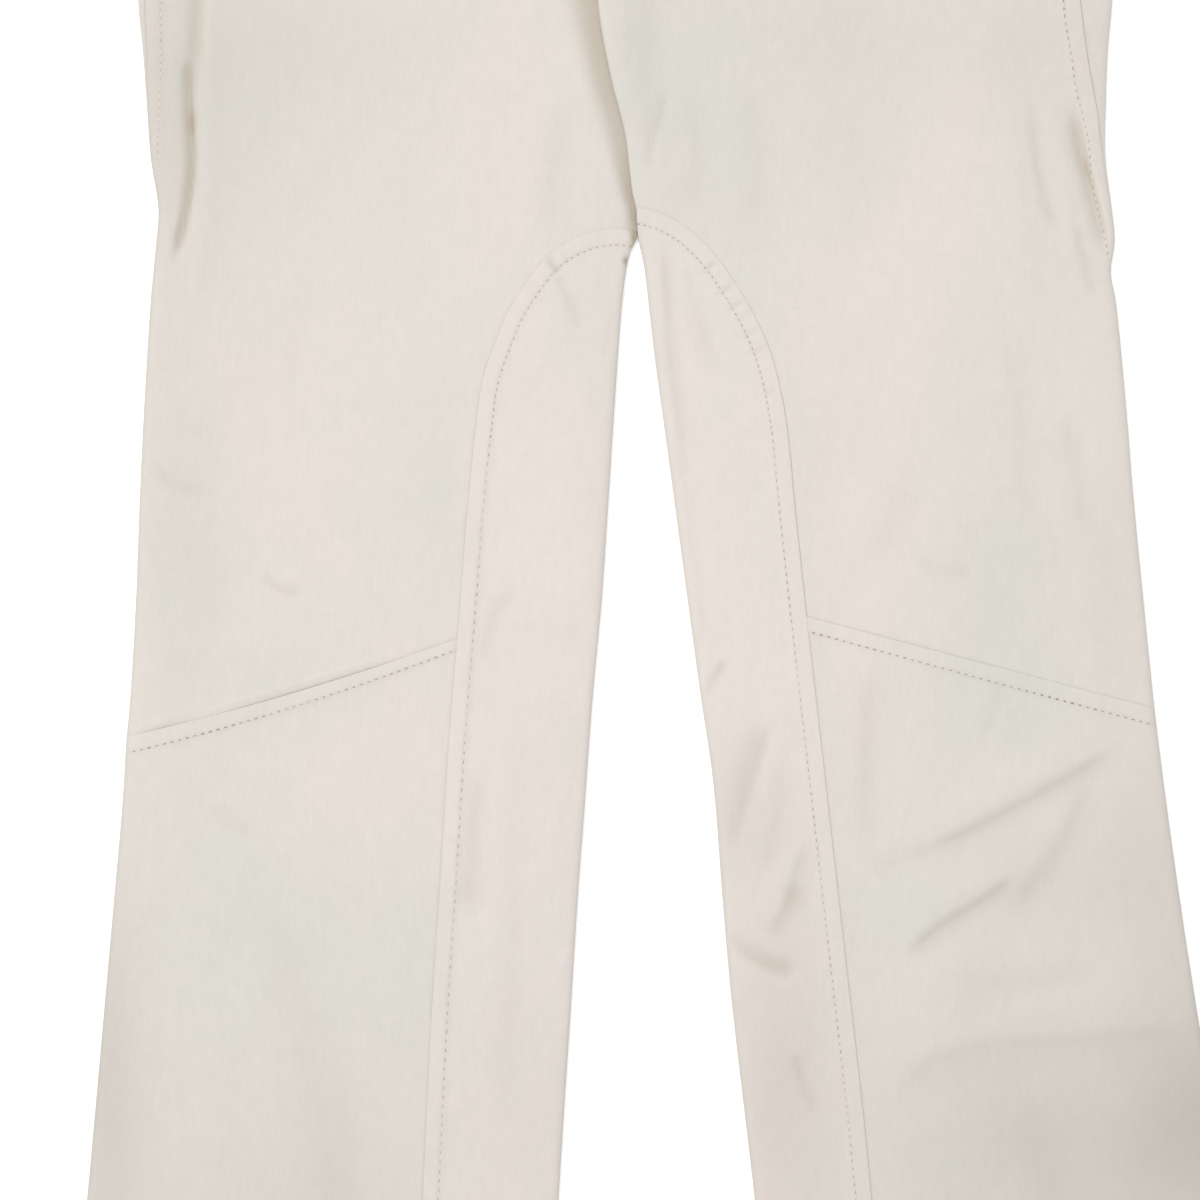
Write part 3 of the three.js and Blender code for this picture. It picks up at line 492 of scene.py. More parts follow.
class Line:
    """A smooth line on the table, measured by distance along it."""

    PARTS = 24  # straight parts between two given points
    CHUNK = 3000  # points worked on at once

    def __init__(self, points):
        points = np.array(points, float)
        run = np.vstack([2 * points[0] - points[1], points, 2 * points[-1] - points[-2]])
        gaps = np.sqrt(np.linalg.norm(np.diff(run, axis=0), axis=1))
        t = np.linspace(0, 1, self.PARTS, endpoint=False)[:, None]
        spans = []
        for i in range(len(points) - 1):
            before, start, end, after = run[i : i + 4]
            first, middle, last = gaps[i : i + 3]
            along = (end - start) / middle
            leave = (start - before) / first - (end - before) / (first + middle) + along
            arrive = along - (after - start) / (middle + last) + (after - end) / last
            spans.append(
                start * (2 * t**3 - 3 * t**2 + 1)
                + leave * middle * (t**3 - 2 * t**2 + t)
                + end * (3 * t**2 - 2 * t**3)
                + arrive * middle * (t**3 - t**2)
            )
        self.set_points(np.vstack([*spans, points[-1:]]))

    def set_points(self, points):
        self.points = points
        steps = np.linalg.norm(np.diff(points, axis=0), axis=1)
        self.travel = np.concatenate([[0], np.cumsum(steps)])
        self.length = self.travel[-1]

    def eased(self, reach):
        """The same line with its small bends evened out."""
        places = np.arange(0, self.length, 1.0)
        points = self.at(places)
        weights = bell(places[:, None] - places, reach)
        # the ends stay where they are
        near_end = np.minimum(places, self.length - places)
        blend = smooth(near_end, 0, 2 * reach)[:, None]
        evened = weights @ points / weights.sum(axis=1, keepdims=True)
        self.set_points(np.vstack([points + blend * (evened - points), self.points[-1:]]))
        return self

    def at(self, distance):
        columns = [np.interp(distance, self.travel, self.points[:, k]) for k in (0, 1)]
        return np.stack(columns, axis=-1)

    def way(self, distance):
        """Direction of the line."""
        distance = np.clip(distance, 0.5, self.length - 0.5)
        return heading(self.at(distance + 0.5) - self.at(distance - 0.5))

    def beside(self, distance, offset):
        """Points beside the line, towards the wearer's left where it runs down."""
        way = self.way(distance)
        left = np.stack([way[..., 1], -way[..., 0]], axis=-1)
        return self.at(distance) + left * np.asarray(offset)[..., None]

    def where_down(self, down):
        return float(np.interp(down, np.maximum.accumulate(self.points[:, 1]), self.travel))

    def nearest(self, points, every=1):
        """Signed distance of points, above 0 towards the wearer's right of a line that runs
        down, and how far along the line each lies."""
        keep = np.unique(np.append(np.arange(0, len(self.points), every), len(self.points) - 1))
        nodes, travel = self.points[keep], self.travel[keep]
        run = np.diff(nodes, axis=0)
        square = np.maximum((run**2).sum(axis=1), 1e-12)
        flat = points.reshape(-1, 2)
        gaps, places = np.empty(len(flat)), np.empty(len(flat))
        for first in range(0, len(flat), self.CHUNK):
            chunk = flat[first : first + self.CHUNK]
            x = chunk[:, 0, None] - nodes[:-1, 0]
            y = chunk[:, 1, None] - nodes[:-1, 1]
            t = np.clip((x * run[:, 0] + y * run[:, 1]) / square, 0, 1)
            far = (x - t * run[:, 0]) ** 2 + (y - t * run[:, 1]) ** 2
            best = far.argmin(axis=1)
            rows = np.arange(len(chunk))
            side = run[best, 0] * y[rows, best] - run[best, 1] * x[rows, best]
            gaps[first : first + self.CHUNK] = np.sqrt(far[rows, best]) * np.where(side < 0, -1, 1)
            parts = travel[best] + t[rows, best] * (travel[best + 1] - travel[best])
            places[first : first + self.CHUNK] = parts
        return gaps.reshape(points.shape[:-1]), places.reshape(points.shape[:-1])


class Polyline(Line):
    """A line straight from point to point."""

    def __init__(self, points):
        self.set_points(np.array(points, float))


OUTER_LINE = {side: Line(OUTER[:, [k, 0]]) for k, side in ((1, "right"), (2, "left"))}
INNER_LINE = {side: Line(INNER[side]) for side in SIDES}
SADDLE_LINE = {side: Line(SADDLE[side]).eased(11) for side in SIDES}
HIDDEN_LINE = {side: Line(HIDDEN[side]) for side in SIDES}
CENTRE_LINE = {layer: Line(CENTRE[layer]) for layer in CENTRE}
OUTLINES = (*OUTER_LINE.values(), *INNER_LINE.values())
FOLD_LINES = [(*fold[:3], Line(fold[3])) for fold in FOLDS]
BACK_FOLD_LINES = [(*fold[:3], Line(fold[3])) for fold in BACK_FOLDS]
WRAP_COLUMN = {"right": 1, "left": 2}


def knee_line(side):
    """The knee seam, from the curved seam to the outer edge, bowed down by its sag."""
    inner, outer, sag = KNEE[side]
    start = SADDLE_LINE[side].at(SADDLE_LINE[side].where_down(inner))
    end = OUTER_LINE[side].at(OUTER_LINE[side].where_down(outer))
    t = np.linspace(-KNEE_SPARE, 1, 107)[:, None]
    points = start + t * (end - start)
    points[:, 1] += 4 * sag * np.clip(t[:, 0], 0, 1) * (1 - np.clip(t[:, 0], 0, 1))
    return Polyline(points)


KNEE_LINE = {side: knee_line(side) for side in SIDES}


def crease_sum(points, lines):
    """How high or deep the creases are at each point."""
    flat = points.reshape(-1, 2)
    total = np.zeros(len(flat))
    for height, right, left, line in lines:
        reach = 3 * max(right, left)
        low, high = line.points.min(axis=0) - reach, line.points.max(axis=0) + reach
        near = np.flatnonzero(((flat > low) & (flat < high)).all(axis=1))
        if not len(near):
            continue
        gap, place = line.nearest(flat[near], every=4)
        ends = np.minimum(place, line.length - place) / line.length
        width = np.where(gap > 0, right, left)
        shape = np.exp(-((np.abs(gap) / width) ** FOLD_POINT))
        total[near] += height * smooth(ends, 0, FOLD_FADE) * shape
    return total.reshape(points.shape[:-1])


def tint_and_shade(points):
    """How pink the cloth has turned at each point, and how much darker it is: partly uneven wear and
    partly painted shade.
    """
    x = (points[..., 0, None] - TONES[:, 0]) / TONES[:, 2]
    y = (points[..., 1, None] - TONES[:, 1]) / TONES[:, 3]
    spread = np.exp(-(x**2) - y**2)
    return spread @ TONES[:, 4], spread @ TONES[:, 5]


def ripple_waves():
    """Faint undulations of the cloth: direction over wavelength, phase and height of each."""
    pick = np.random.default_rng(17)
    waves = []
    for count, shortest, longest, height in ((7, 80, 150, 0.2), (9, 26, 52, 0.07), (8, 11, 18, 0.014)):
        for _ in range(count):
            angle, wavelength = pick.uniform(0, math.pi), pick.uniform(shortest, longest)
            turn = 2 * math.pi / wavelength
            # creases run mostly down the leg
            waves.append(
                (turn * math.cos(angle), 0.6 * turn * math.sin(angle), pick.uniform(0, 6.28), height)
            )
    return waves


RIPPLES = ripple_waves()


def ripples(points):
    """Height of the faint undulations at each point."""
    x, y = points[..., 0], points[..., 1]
    return sum(height * np.sin(a * x + b * y + phase) for a, b, phase, height in RIPPLES)


def lay(points):
    """Height of the front before its seams, and the shade painted into its creases."""
    edge = np.min([np.abs(line.nearest(points, every=5)[0]) for line in OUTLINES], axis=0)
    rise = 1 - np.exp(-np.maximum(edge - 1, 0) / RISE_WIDTH)
    level = read(PLATEAU, points[..., 1]) - FRONT_EDGE
    creases = crease_sum(points, FOLD_LINES)
    height = FRONT_EDGE + rise * (level + creases + ripples(points))
    # painted shade in the creases, by their depth
    hollow = CREASE_SHADE * np.maximum(-creases, 0) * rise
    return np.clip(height, HEIGHT_LEAST, HEIGHT_MOST), hollow


def turned_down(height, inset):
    """Rounds the front over at the garment's edge."""
    return EDGE_MIDDLE + (height - EDGE_MIDDLE) * quarter(inset, EDGE_ROLL)


def turned_up(height, inset):
    """The same for the layer beneath."""
    return EDGE_MIDDLE - (EDGE_MIDDLE - height) * quarter(inset, UNDER_ROLL)


def strip(distance, width, height, groove=0.32):
    """A seam's rolled edge, the strip up to its topstitch, and the groove there."""
    roll = 0.8
    level = height * (1 - smooth(distance - width, -0.1, 2.6))
    dome = 0.14 * height * np.sin(np.pi * np.clip((distance - roll) / (width - roll), 0, 1))
    sunk = groove * bell(distance - width, 0.8)
    return (level + dome + 0.1) * quarter(distance, roll) - 0.1 - sunk


def tuck(distance):
    """Drop of a lapped panel beneath the other, by the distance past their seam."""
    return -TUCK * smooth(distance, TUCK_START, TUCK_END)


def saddle_gap(side, points):
    """Distance into the inner-leg panel from its curved seam, and how far down the seam."""
    gap, place = SADDLE_LINE[side].nearest(points)
    return gap * SIDES[side], place


def knee_gap(side, points):
    """Distance below the knee seam, how far along it, and the width of its strip there."""
    gap, place = KNEE_LINE[side].nearest(points)
    return gap * SIDES[side], place, np.interp(place, (0, KNEE_LINE[side].length), KNEE_STRIP[side])


def pucker(place, seed, size=12.0):
    """Uneven short creases across a seam, with bumps between: -1 in a crease, 0.5 on a bump."""
    uneven = place + 2.6 * np.sin(place / 15 + seed) + 1.5 * np.sin(place / 6.3 + 2 * seed)
    share = uneven / size % 1 - 0.5
    depth = 0.72 + 0.28 * np.sin(place / 9 + 3 * seed)
    return depth * (0.5 - 1.5 * bell(share, 0.17))


def saddle_pucker(side, gap, place):
    """Depth of the puckers across the curved seam's strip, and of faint ones between them."""
    across = bell(gap - 6.5, 4.6)
    bumps = 0.3 * bell(gap - 5.5, 4.6) * (0.3 + bell(place - 80, 50))
    main = sum(
        strength * (bell(place - run, 1.7) - 0.4 * bell(place - run - 4.2, 2))
        for run, strength in PUCKERS[side]
    )
    return 2.4 * across * main - bumps * pucker(place, SIDES[side] + 3)


def centre_fold(side, points):
    """Drop of the fold down the centre front, and the shade painted into it. The right side slopes into it
    and the left side rolls over into it."""
    gap, _ = CENTRE_LINE["front"].nearest(points)
    depth, dark, slope, roll = (read(CENTRE_FOLD, points[..., 1], k) for k in (1, 2, 3, 4))
    lasts = 1 - smooth(points[..., 1], 0, 14)
    depth = depth * lasts
    if side == "right":
        slant = np.exp(-((np.maximum(gap, 0) / slope) ** 2.6))
        return depth * slant, dark * lasts * slant
    over = 1 - quarter(np.maximum(-gap, 0), roll)
    return np.maximum(depth - 0.15, 0) * over, 0.04 * depth * over


def seam_shade(distance, strength=0.3, width=0.6):
    """Painted shade along a seam or in a stitched groove."""
    return strength * bell(distance, width)


def edge_shade(inset):
    """Painted shade along the turned edge of the garment."""
    return 0.2 * bell(inset, 1.5)


class Sewn:
    """Height of each sewn panel in millimetres, and the shade painted into its creases, seams and edges.
    """

    def __init__(self, sewing):
        self.strip = sewing.strip / MM
        self.pucker = sewing.pucker / MM

    def hem(self, points):
        """Raise of the turned hem, and the shade painted into its stitched groove."""
        up = INSEAM - points[..., 1]
        near = up < HEM_DEPTH + 4
        return np.where(near, strip(up, HEM_DEPTH, 0.5), 0), seam_shade(up - HEM_DEPTH, 0.12, 1)

    def base(self, side, points):
        """The front with its creases and its centre fold, before any seam."""
        height, hollow = lay(points)
        # the centre fold's drop, and the shade painted into it
        drop, fold_shade = centre_fold(side, points)
        return height - drop, hollow + fold_shade

    def saddle(self, side, points, inset):
        """The inner leg, raised and puckered along its curved seam."""
        gap, place = saddle_gap(side, points)
        height, hollow = self.base(side, points)
        raised = self.strip * (0.45 + 0.55 * smooth(place, 40, 170))
        height = height + strip(gap, SEAM_STRIP, raised)
        puckers = self.pucker * saddle_pucker(side, gap, place)
        height = height - puckers
        # painted shade in the puckers and along the turned edge
        hollow = hollow + 0.26 * np.maximum(puckers, 0) + edge_shade(inset)
        # painted shade in the notch at the crotch
        if side == "right":
            hollow = hollow + 0.6 * bell(inset, 2.4) * (1 - smooth(points[..., 1], 1, 9))
        hem, groove = self.hem(points)
        line = seam_shade(gap, 0.05 + 0.04 * smooth(place, 30, 150))
        hollow = hollow + line + seam_shade(gap - SEAM_STRIP, STITCH_SHADE, 1) + groove
        return turned_down(height + hem, inset), hollow

    def thigh(self, side, points, inset):
        """The thigh, which drops beneath the inner leg and the shin at their seams."""
        gap, _ = saddle_gap(side, points)
        below, run, _ = knee_gap(side, points)
        down = points[..., 1]
        height, hollow = self.base(side, points)
        height = height + tuck(gap) * smooth(down, -40, -20) + tuck(below) * smooth(down, 150, 170)
        height = height + 0.3 * self.pucker * bell(below + 4, 4) * pucker(run, 5)
        # the edge of the seam's turning shows through above the knee seam
        ridge = {"right": 0.9, "left": 0.2}[side] * smooth(run, 0, 60)
        height = height + ridge * (bell(below + 2.6, 0.9) - 0.5 * bell(below + 0.9, 0.8))
        # painted shade at the foot of the ridge, above the knee seam
        hollow = hollow + 0.06 * ridge * bell(below + 1, 0.7)
        wrap = read(SIDE_WRAP, down, WRAP_COLUMN[side])
        raised = smooth(wrap, 0.3, 3) * (down < 60)
        height = height + raised * strip(inset - wrap, SEAM_STRIP, self.strip)
        height = height + raised * self.pucker * bell(inset - wrap - 6, 4) * pucker(down, 9)
        line = seam_shade(inset - wrap, 0.3) + seam_shade(inset - wrap - SEAM_STRIP, STITCH_SHADE, 1)
        line = line * raised + seam_shade(gap, 0.05) + seam_shade(below, 0.03)
        height = np.maximum(turned_down(height, inset), 1.3)
        return height, hollow + np.where(gap < 1, line, 0) + edge_shade(inset)

    def shin(self, side, points, inset):
        """The shin, raised along the knee seam and dropping beneath the inner leg."""
        gap, _ = saddle_gap(side, points)
        below, run, width = knee_gap(side, points)
        height, hollow = self.base(side, points)
        hollow = hollow + edge_shade(inset)
        height = height + strip(below, width, 0.8 * self.strip, 0.05) + tuck(gap)
        height = height + 0.5 * self.pucker * bell(below - 4, 5) * pucker(run, 7)
        hem, groove = self.hem(points)
        faint = {"right": 0.05, "left": 0.01}[side]
        line = seam_shade(below, faint) + seam_shade(below - width, STITCH_SHADE, 1)
        return turned_down(height + hem, inset), hollow + line + seam_shade(gap, 0.06) + groove

    def wrapped(self, side, points, inset):
        """The part of the back that comes round the edge at the hip and lies on the front."""
        wrap = read(SIDE_WRAP, points[..., 1], WRAP_COLUMN[side])
        height, hollow = self.base(side, points)
        height = height + tuck(inset - wrap)
        return turned_down(height, inset), hollow + seam_shade(inset - wrap, 0.2)

    def under(self, points, inset, raised, tucked):
        """The side that lies down. Strips come down to the table and lapped edges tuck up."""
        creases = crease_sum(points, BACK_FOLD_LINES)
        lift = np.clip(creases + 0.5 * ripples(points), 0, 1) * smooth(inset, 6, 26)
        # the laps are pressed thin at the crotch, where the front lies low
        thin = 1 - 0.6 * bell(np.linalg.norm(points, axis=-1), 10)
        lift = lift + 0.9 * thin * smooth(tucked, TUCK_START, TUCK_END)
        hem, groove = self.hem(points)
        drop = np.clip(raised, -0.1, UNDER_LEVEL) + np.clip(hem, -0.1, UNDER_LEVEL)
        level = np.maximum(UNDER_LEVEL + lift - drop, 0.02)
        # painted shade in the back's creases, by their depth
        return turned_up(level, inset), groove + CREASE_SHADE * np.maximum(creases, 0)

    def under_saddle(self, side, points, inset):
        """The back half of the inner leg, with its strip against the table."""
        gap, _ = saddle_gap(side, points)
        height, hollow = self.under(points, inset, strip(gap, SEAM_STRIP, UNDER_LEVEL), NO_LAP)
        return height, hollow + seam_shade(gap, 0.25) + seam_shade(gap - SEAM_STRIP, STITCH_SHADE, 1)

    def under_back(self, side, points, inset):
        """The back panel. At the centre seam the left one's strip covers the right one."""
        gap, _ = saddle_gap(side, points)
        middle, _ = CENTRE_LINE["back"].nearest(points)
        above = smooth(-points[..., 1], 3, 8)
        line = seam_shade(gap, 0.15)
        if side == "left":
            raised = strip(-middle, SEAM_STRIP, UNDER_LEVEL) * above
            groove = seam_shade(-middle - SEAM_STRIP, STITCH_SHADE, 1)
            line = line + above * (seam_shade(-middle) + groove)
            height, hollow = self.under(points, inset, raised, gap)
            return height, hollow + line
        tucked = np.maximum(gap, np.where(above > 0, -middle, NO_LAP))
        height, hollow = self.under(points, inset, 0, tucked)
        return height, hollow + line


# Where a row's points lie near its two ends, or a panel's rows near its seams: closer together
# at a seam, at a topstitch and on a rolled edge
NEAR_STRIP = (0, 0.05, 0.2, 0.45, 0.8, 1.4, 2.4, 3.8, 5.2, 6.6, 7.6, 8.3, 8.7, 9.1, 9.6, 10.3, 11.3, 13)
NEAR_ROLL = (0, 0.06, 0.2, 0.5, 0.9, 1.5, 2.3, 3.3, 4.5, 6, 8, 10.5)
NEAR_PLAIN = (0, 2, 4, 6, 8, 10.5)
NEAR_BAND = (0, 0.1, 0.35, 0.8, 1.5, 2, 2.4, 2.8, 3.6, 6, 9, 12)
FAR_STRIP = (0, 0.04, 0.16, 0.4, 0.75, 1.2, 1.8, 2.7, 3.7, 5, 6.4, 7.5, 8.3, 8.7, 9.1, 9.6, 10.3, 11.5, 13)
FAR_EDGE = (0, 0.04, 0.16, 0.4, 0.8, 1.4, 2.2, 3.2, 4.2, 5.4, 7)
FAR_UNDER = (0, 0.04, 0.16, 0.4, 0.8, 1.4, 2.2, 3.4, 6)
FAR_BAND = (0, 0.06, 0.25, 0.6, 1.1, 1.8, 2.8, 4, 5.4, 7.5)
HEM_STOPS = (0, 0.06, 0.25, 0.55, 0.95, 2, 5, 9, 14, 18, 19.2, 19.7, 20.2, 20.9, 22.2, 24)
KNEE_STOPS = (0, 0.06, 0.2, 0.45, 0.8, 1.5, 3, 4.6, 5.6, 6.1, 6.5, 6.9, 7.5, 8.4, 10)
BAND_STOPS = (0, 0.1, 0.35, 0.8, 1.5, 2, 2.4, 2.8, 3.6)
# The same for what wraps round the edge at the hip, as shares of its width
WRAP_SHARES = (0.02, 0.06, 0.12, 0.2, 0.32, 0.46, 0.6, 0.72, 0.82, 0.92, 1)


class Rows:
    """Points across a panel, row by row, from a start to the garment's edge."""

    def __init__(self, starts, ends, near, far, spacing, first=0, inset=0, start_way=None, end_way=None):
        run = ends - starts
        whole = np.linalg.norm(run, axis=1)
        outward = heading(run)
        steep = [
            np.ones(len(starts)) if way is None else np.maximum(np.abs(cross(way, outward)), 0.5)
            for way in (start_way, end_way)
        ]
        first, inset = (np.broadcast_to(value, whole.shape).astype(float) for value in (first, inset))
        room = whole - inset / steep[1] - first
        near, far = np.array(near, float), np.array(far, float)
        squeeze = np.minimum(1, room / (1.25 * (near[-1] / steep[0] + far[-1] / steep[1])))
        begin = near * (squeeze / steep[0])[:, None]
        finish = room[:, None] - far[::-1] * (squeeze / steep[1])[:, None]
        count = max(2, round(float((room - near[-1] - far[-1]).max()) / spacing))
        share = np.linspace(0, 1, count + 1)[1:-1]
        middle = begin[:, -1:] + (finish[:, :1] - begin[:, -1:]) * share
        distance = np.concatenate([begin, middle, finish], axis=1) + first[:, None]
        self.points = starts[:, None] + outward[:, None] * distance[..., None]
        self.inset = (whole[:, None] - distance) * steep[1][:, None]
        self.starts, self.ends = starts, ends

    def bowed(self, sag):
        """Bows each row down between its ends, as the waist is."""
        run = self.ends - self.starts
        offset = self.points - self.starts[:, None]
        along = (offset * run[:, None]).sum(axis=2) / (run**2).sum(axis=1)[:, None]
        self.points[..., 1] += 4 * sag[:, None] * np.clip(along * (1 - along), 0, 1)
        return self


def evenly(whole, spacing, near=(0,), far=(0,)):
    """Distances along a length: given ones from each end, and even ones between."""
    start, end = near[-1], whole - far[-1]
    count = max(1, round((end - start) / spacing))
    between = np.linspace(start, end, count + 1)[1:-1]
    return np.concatenate([near, between, [whole - distance for distance in far[::-1]]])


def leg_rows(side, layer, spacing):
    """Starts and ends of the rows of a thigh or back panel, waistband to knee."""
    centre, hidden, outer = CENTRE_LINE[layer], HIDDEN_LINE[side], OUTER_LINE[side]
    top = centre.where_down(BAND_WIDTH - 2 - RISES[layer])
    fork = centre.where_down(HIDDEN[side][0][1])
    upper = centre.at(top + evenly(fork - top, spacing))
    inner, edge, _ = KNEE[side]
    knee = hidden.where_down(inner + 2)
    lower = hidden.at(evenly(knee, spacing))[1:]
    starts = np.vstack([upper, lower])
    steps = np.linalg.norm(np.diff(starts, axis=0), axis=1)
    travel = np.concatenate([[0], np.cumsum(steps)])
    high = outer.where_down(BAND_WIDTH - 2 - SIDE_RISE)
    low = outer.where_down(edge + LAP)
    places = high + (low - high) * travel / travel[-1]
    return starts, outer.at(places), outer.way(places), len(upper)


def waist_sag(layer, starts):
    """How far rows bow down near the waistband."""
    from_waist = np.linalg.norm(starts - starts[0], axis=1)
    return (SIDE_RISE - RISES[layer]) / 4 * np.maximum(0, 1 - from_waist / WAIST_FADE) ** 2


def centre_lap(starts, upper, fade_from, fade_to):
    """Where the right panel's rows start, beneath the left panel at the centre seam."""
    along_centre = np.arange(len(starts)) < upper
    return -CENTRE_LAP * along_centre * (1 - smooth(starts[:, 1], fade_from, fade_to))


def thigh_rows(side, spacing):
    """Rows of a thigh, from the centre seam and from beneath the inner leg outwards."""
    starts, ends, end_way, upper = leg_rows(side, "front", spacing)
    wrap = read(SIDE_WRAP, ends[:, 1], WRAP_COLUMN[side])
    first = centre_lap(starts, upper, -12, 0) if side == "right" else 0
    near = NEAR_ROLL if side == "left" else NEAR_PLAIN
    rows = Rows(starts, ends, near, FAR_STRIP, spacing, first, wrap, None, end_way)
    return rows.bowed(waist_sag("front", starts))


def shin_rows(side, spacing):
    """Rows of a shin from its knee seam to its hem, from beneath the curved seam outwards."""
    saddle, outer = SADDLE_LINE[side], OUTER_LINE[side]
    inner, edge, sag = KNEE[side]
    start, high = saddle.where_down(inner), outer.where_down(edge)
    stops = evenly(saddle.length - start, spacing, KNEE_STOPS, HEM_STOPS)
    places = high + (outer.length - high) * stops / stops[-1]
    starts, ends, end_way = saddle.at(start + stops), outer.at(places), outer.way(places)
    rows = Rows(starts, ends, NEAR_PLAIN, FAR_EDGE, spacing, -LAP, 0, None, end_way)
    return rows.bowed(sag * np.maximum(0, 1 - stops / KNEE_FADE) ** 2)


def saddle_rows(side, spacing, near, far, fine=0):
    """Rows of an inner-leg panel, fanning out at the top, from its seam to the inner edge."""
    saddle, inner = SADDLE_LINE[side], INNER_LINE[side]
    lower = fine + evenly(saddle.length - fine, spacing, (0, 1.2), HEM_STOPS)
    stops = np.append(np.arange(0, fine, 0.55 * spacing), lower)
    places = stops - (saddle.length - inner.length) * (1 - np.exp(-stops / FAN))
    ways = saddle.way(stops), inner.way(places)
    return Rows(saddle.at(stops), inner.at(places), near, far, spacing, 0, 0, *ways)


def back_surface(side, sewn, spacing):
    """The back panel lies beneath from the centre seam to the edge, and wraps round it."""
    saddle, outer = SADDLE_LINE[side], OUTER_LINE[side]
    starts, ends, end_way, upper = leg_rows(side, "back", spacing)
    knee_end = outer.where_down(KNEE[side][1] + LAP)
    hidden_end = saddle.where_down(starts[-1, 1])
    stops = evenly(saddle.length - hidden_end, spacing, (4,), HEM_STOPS)
    low_starts = saddle.beside(hidden_end + stops, np.full(len(stops), -LAP * SIDES[side]))
    places = knee_end + (outer.length - knee_end) * stops / stops[-1]
    starts = np.vstack([starts, low_starts])
    ends = np.vstack([ends, outer.at(places)])
    end_way = np.vstack([end_way, outer.way(places)])
    first = centre_lap(starts, upper, -30, -8) if side == "right" else 0
    rows = Rows(starts, ends, NEAR_STRIP, FAR_UNDER, spacing, first, 0, None, end_way)
    rows.bowed(waist_sag("back", starts))
    wrap = read(SIDE_WRAP, ends[:, 1], WRAP_COLUMN[side])
    reach = wrap + 5 * smooth(wrap, 0.2, 4)
    inset = reach[:, None] * np.array(WRAP_SHARES)
    outward = heading(ends - starts)
    steep = np.abs(cross(end_way, outward))
    over = ends[:, None] - outward[:, None] * (inset / steep[:, None])[..., None]
    beneath = (rows.points, *sewn.under_back(side, rows.points, rows.inset))
    above = (over, *sewn.wrapped(side, over, inset))
    return [np.concatenate(pair, axis=1) for pair in zip(beneath, above)]


def placed(points, heights):
    """Row-frame metres from millimetres across, down and up."""
    across, down = points[..., 0], points[..., 1]
    return np.stack([CROTCH_X + across * MM, CROTCH_Y - down * MM, heights * MM], axis=-1)


def settings(context):
    scene = context.scene
    return scene.jeans_cloth, scene.jeans_sewing, scene.jeans_stage


def finish_piece(obj, material, replaces=()):
    obj.data.materials.append(material)
    for polygon in obj.data.polygons:
        polygon.use_smooth = True
    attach(obj, "root")
    if replaces:
        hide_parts(*replaces)
    return obj


def new_object(name, bm):
    mesh = bpy.data.meshes.new(name)
    bm.to_mesh(mesh)
    bm.free()
    obj = bpy.data.objects.new(name, mesh)
    bpy.context.collection.objects.link(obj)
    return obj


def cloth_panel(node, points, heights, hollow, wall, facing, material):
    """A node's closed cloth shell, over a grid of points. It faces up (1) or down (-1)."""
    corners = placed(points, heights)
    pink, worn = tint_and_shade(points)
    # the painted shade, the pink tint, and the darkening that is partly wear and partly painted shade
    marks = {"hollow": np.clip(hollow, 0, 0.9), "pink": np.clip(pink, -1, 1), "worn": worn}
    rows, columns = heights.shape
    bm = bmesh.new()
    bmesh.ops.create_grid(bm, x_segments=columns - 1, y_segments=rows - 1, size=1)
    layers = {mark: bm.verts.layers.float.new(mark) for mark in marks}
    for vertex in bm.verts:
        column = round((vertex.co.x + 1) / 2 * (columns - 1))
        row = round((vertex.co.y + 1) / 2 * (rows - 1))
        vertex.co = corners[row, column]
        for mark, layer in layers.items():
            vertex[layer] = marks[mark][row, column]
    bmesh.ops.remove_doubles(bm, verts=bm.verts, dist=0.00002)
    bm.normal_update()
    if sum(face.normal.z * face.calc_area() for face in bm.faces) * facing < 0:
        bmesh.ops.reverse_faces(bm, faces=bm.faces)
    obj = new_object(f"{node}_cloth", bm)
    thickness = obj.modifiers.new("Wall", "SOLIDIFY")
    thickness.thickness = wall
    thickness.offset = -1
    return finish_piece(obj, material, replaces=[node])


class Num:
    """A number in a material. Python's operators on it add Math nodes."""

    def __init__(self, maker, socket):
        self.maker = maker
        self.socket = socket

    def math(self, operation, *values):
        node = self.maker.node("ShaderNodeMath", {"operation": operation}, dict(enumerate(values)))
        return Num(self.maker, node.outputs[0])

    def __add__(self, other):
        return self.math("ADD", self, other)

    __radd__ = __add__

    def __sub__(self, other):
        return self.math("SUBTRACT", self, other)

    def __rsub__(self, other):
        return self.math("SUBTRACT", other, self)

    def __mul__(self, other):
        return self.math("MULTIPLY", self, other)

    __rmul__ = __mul__


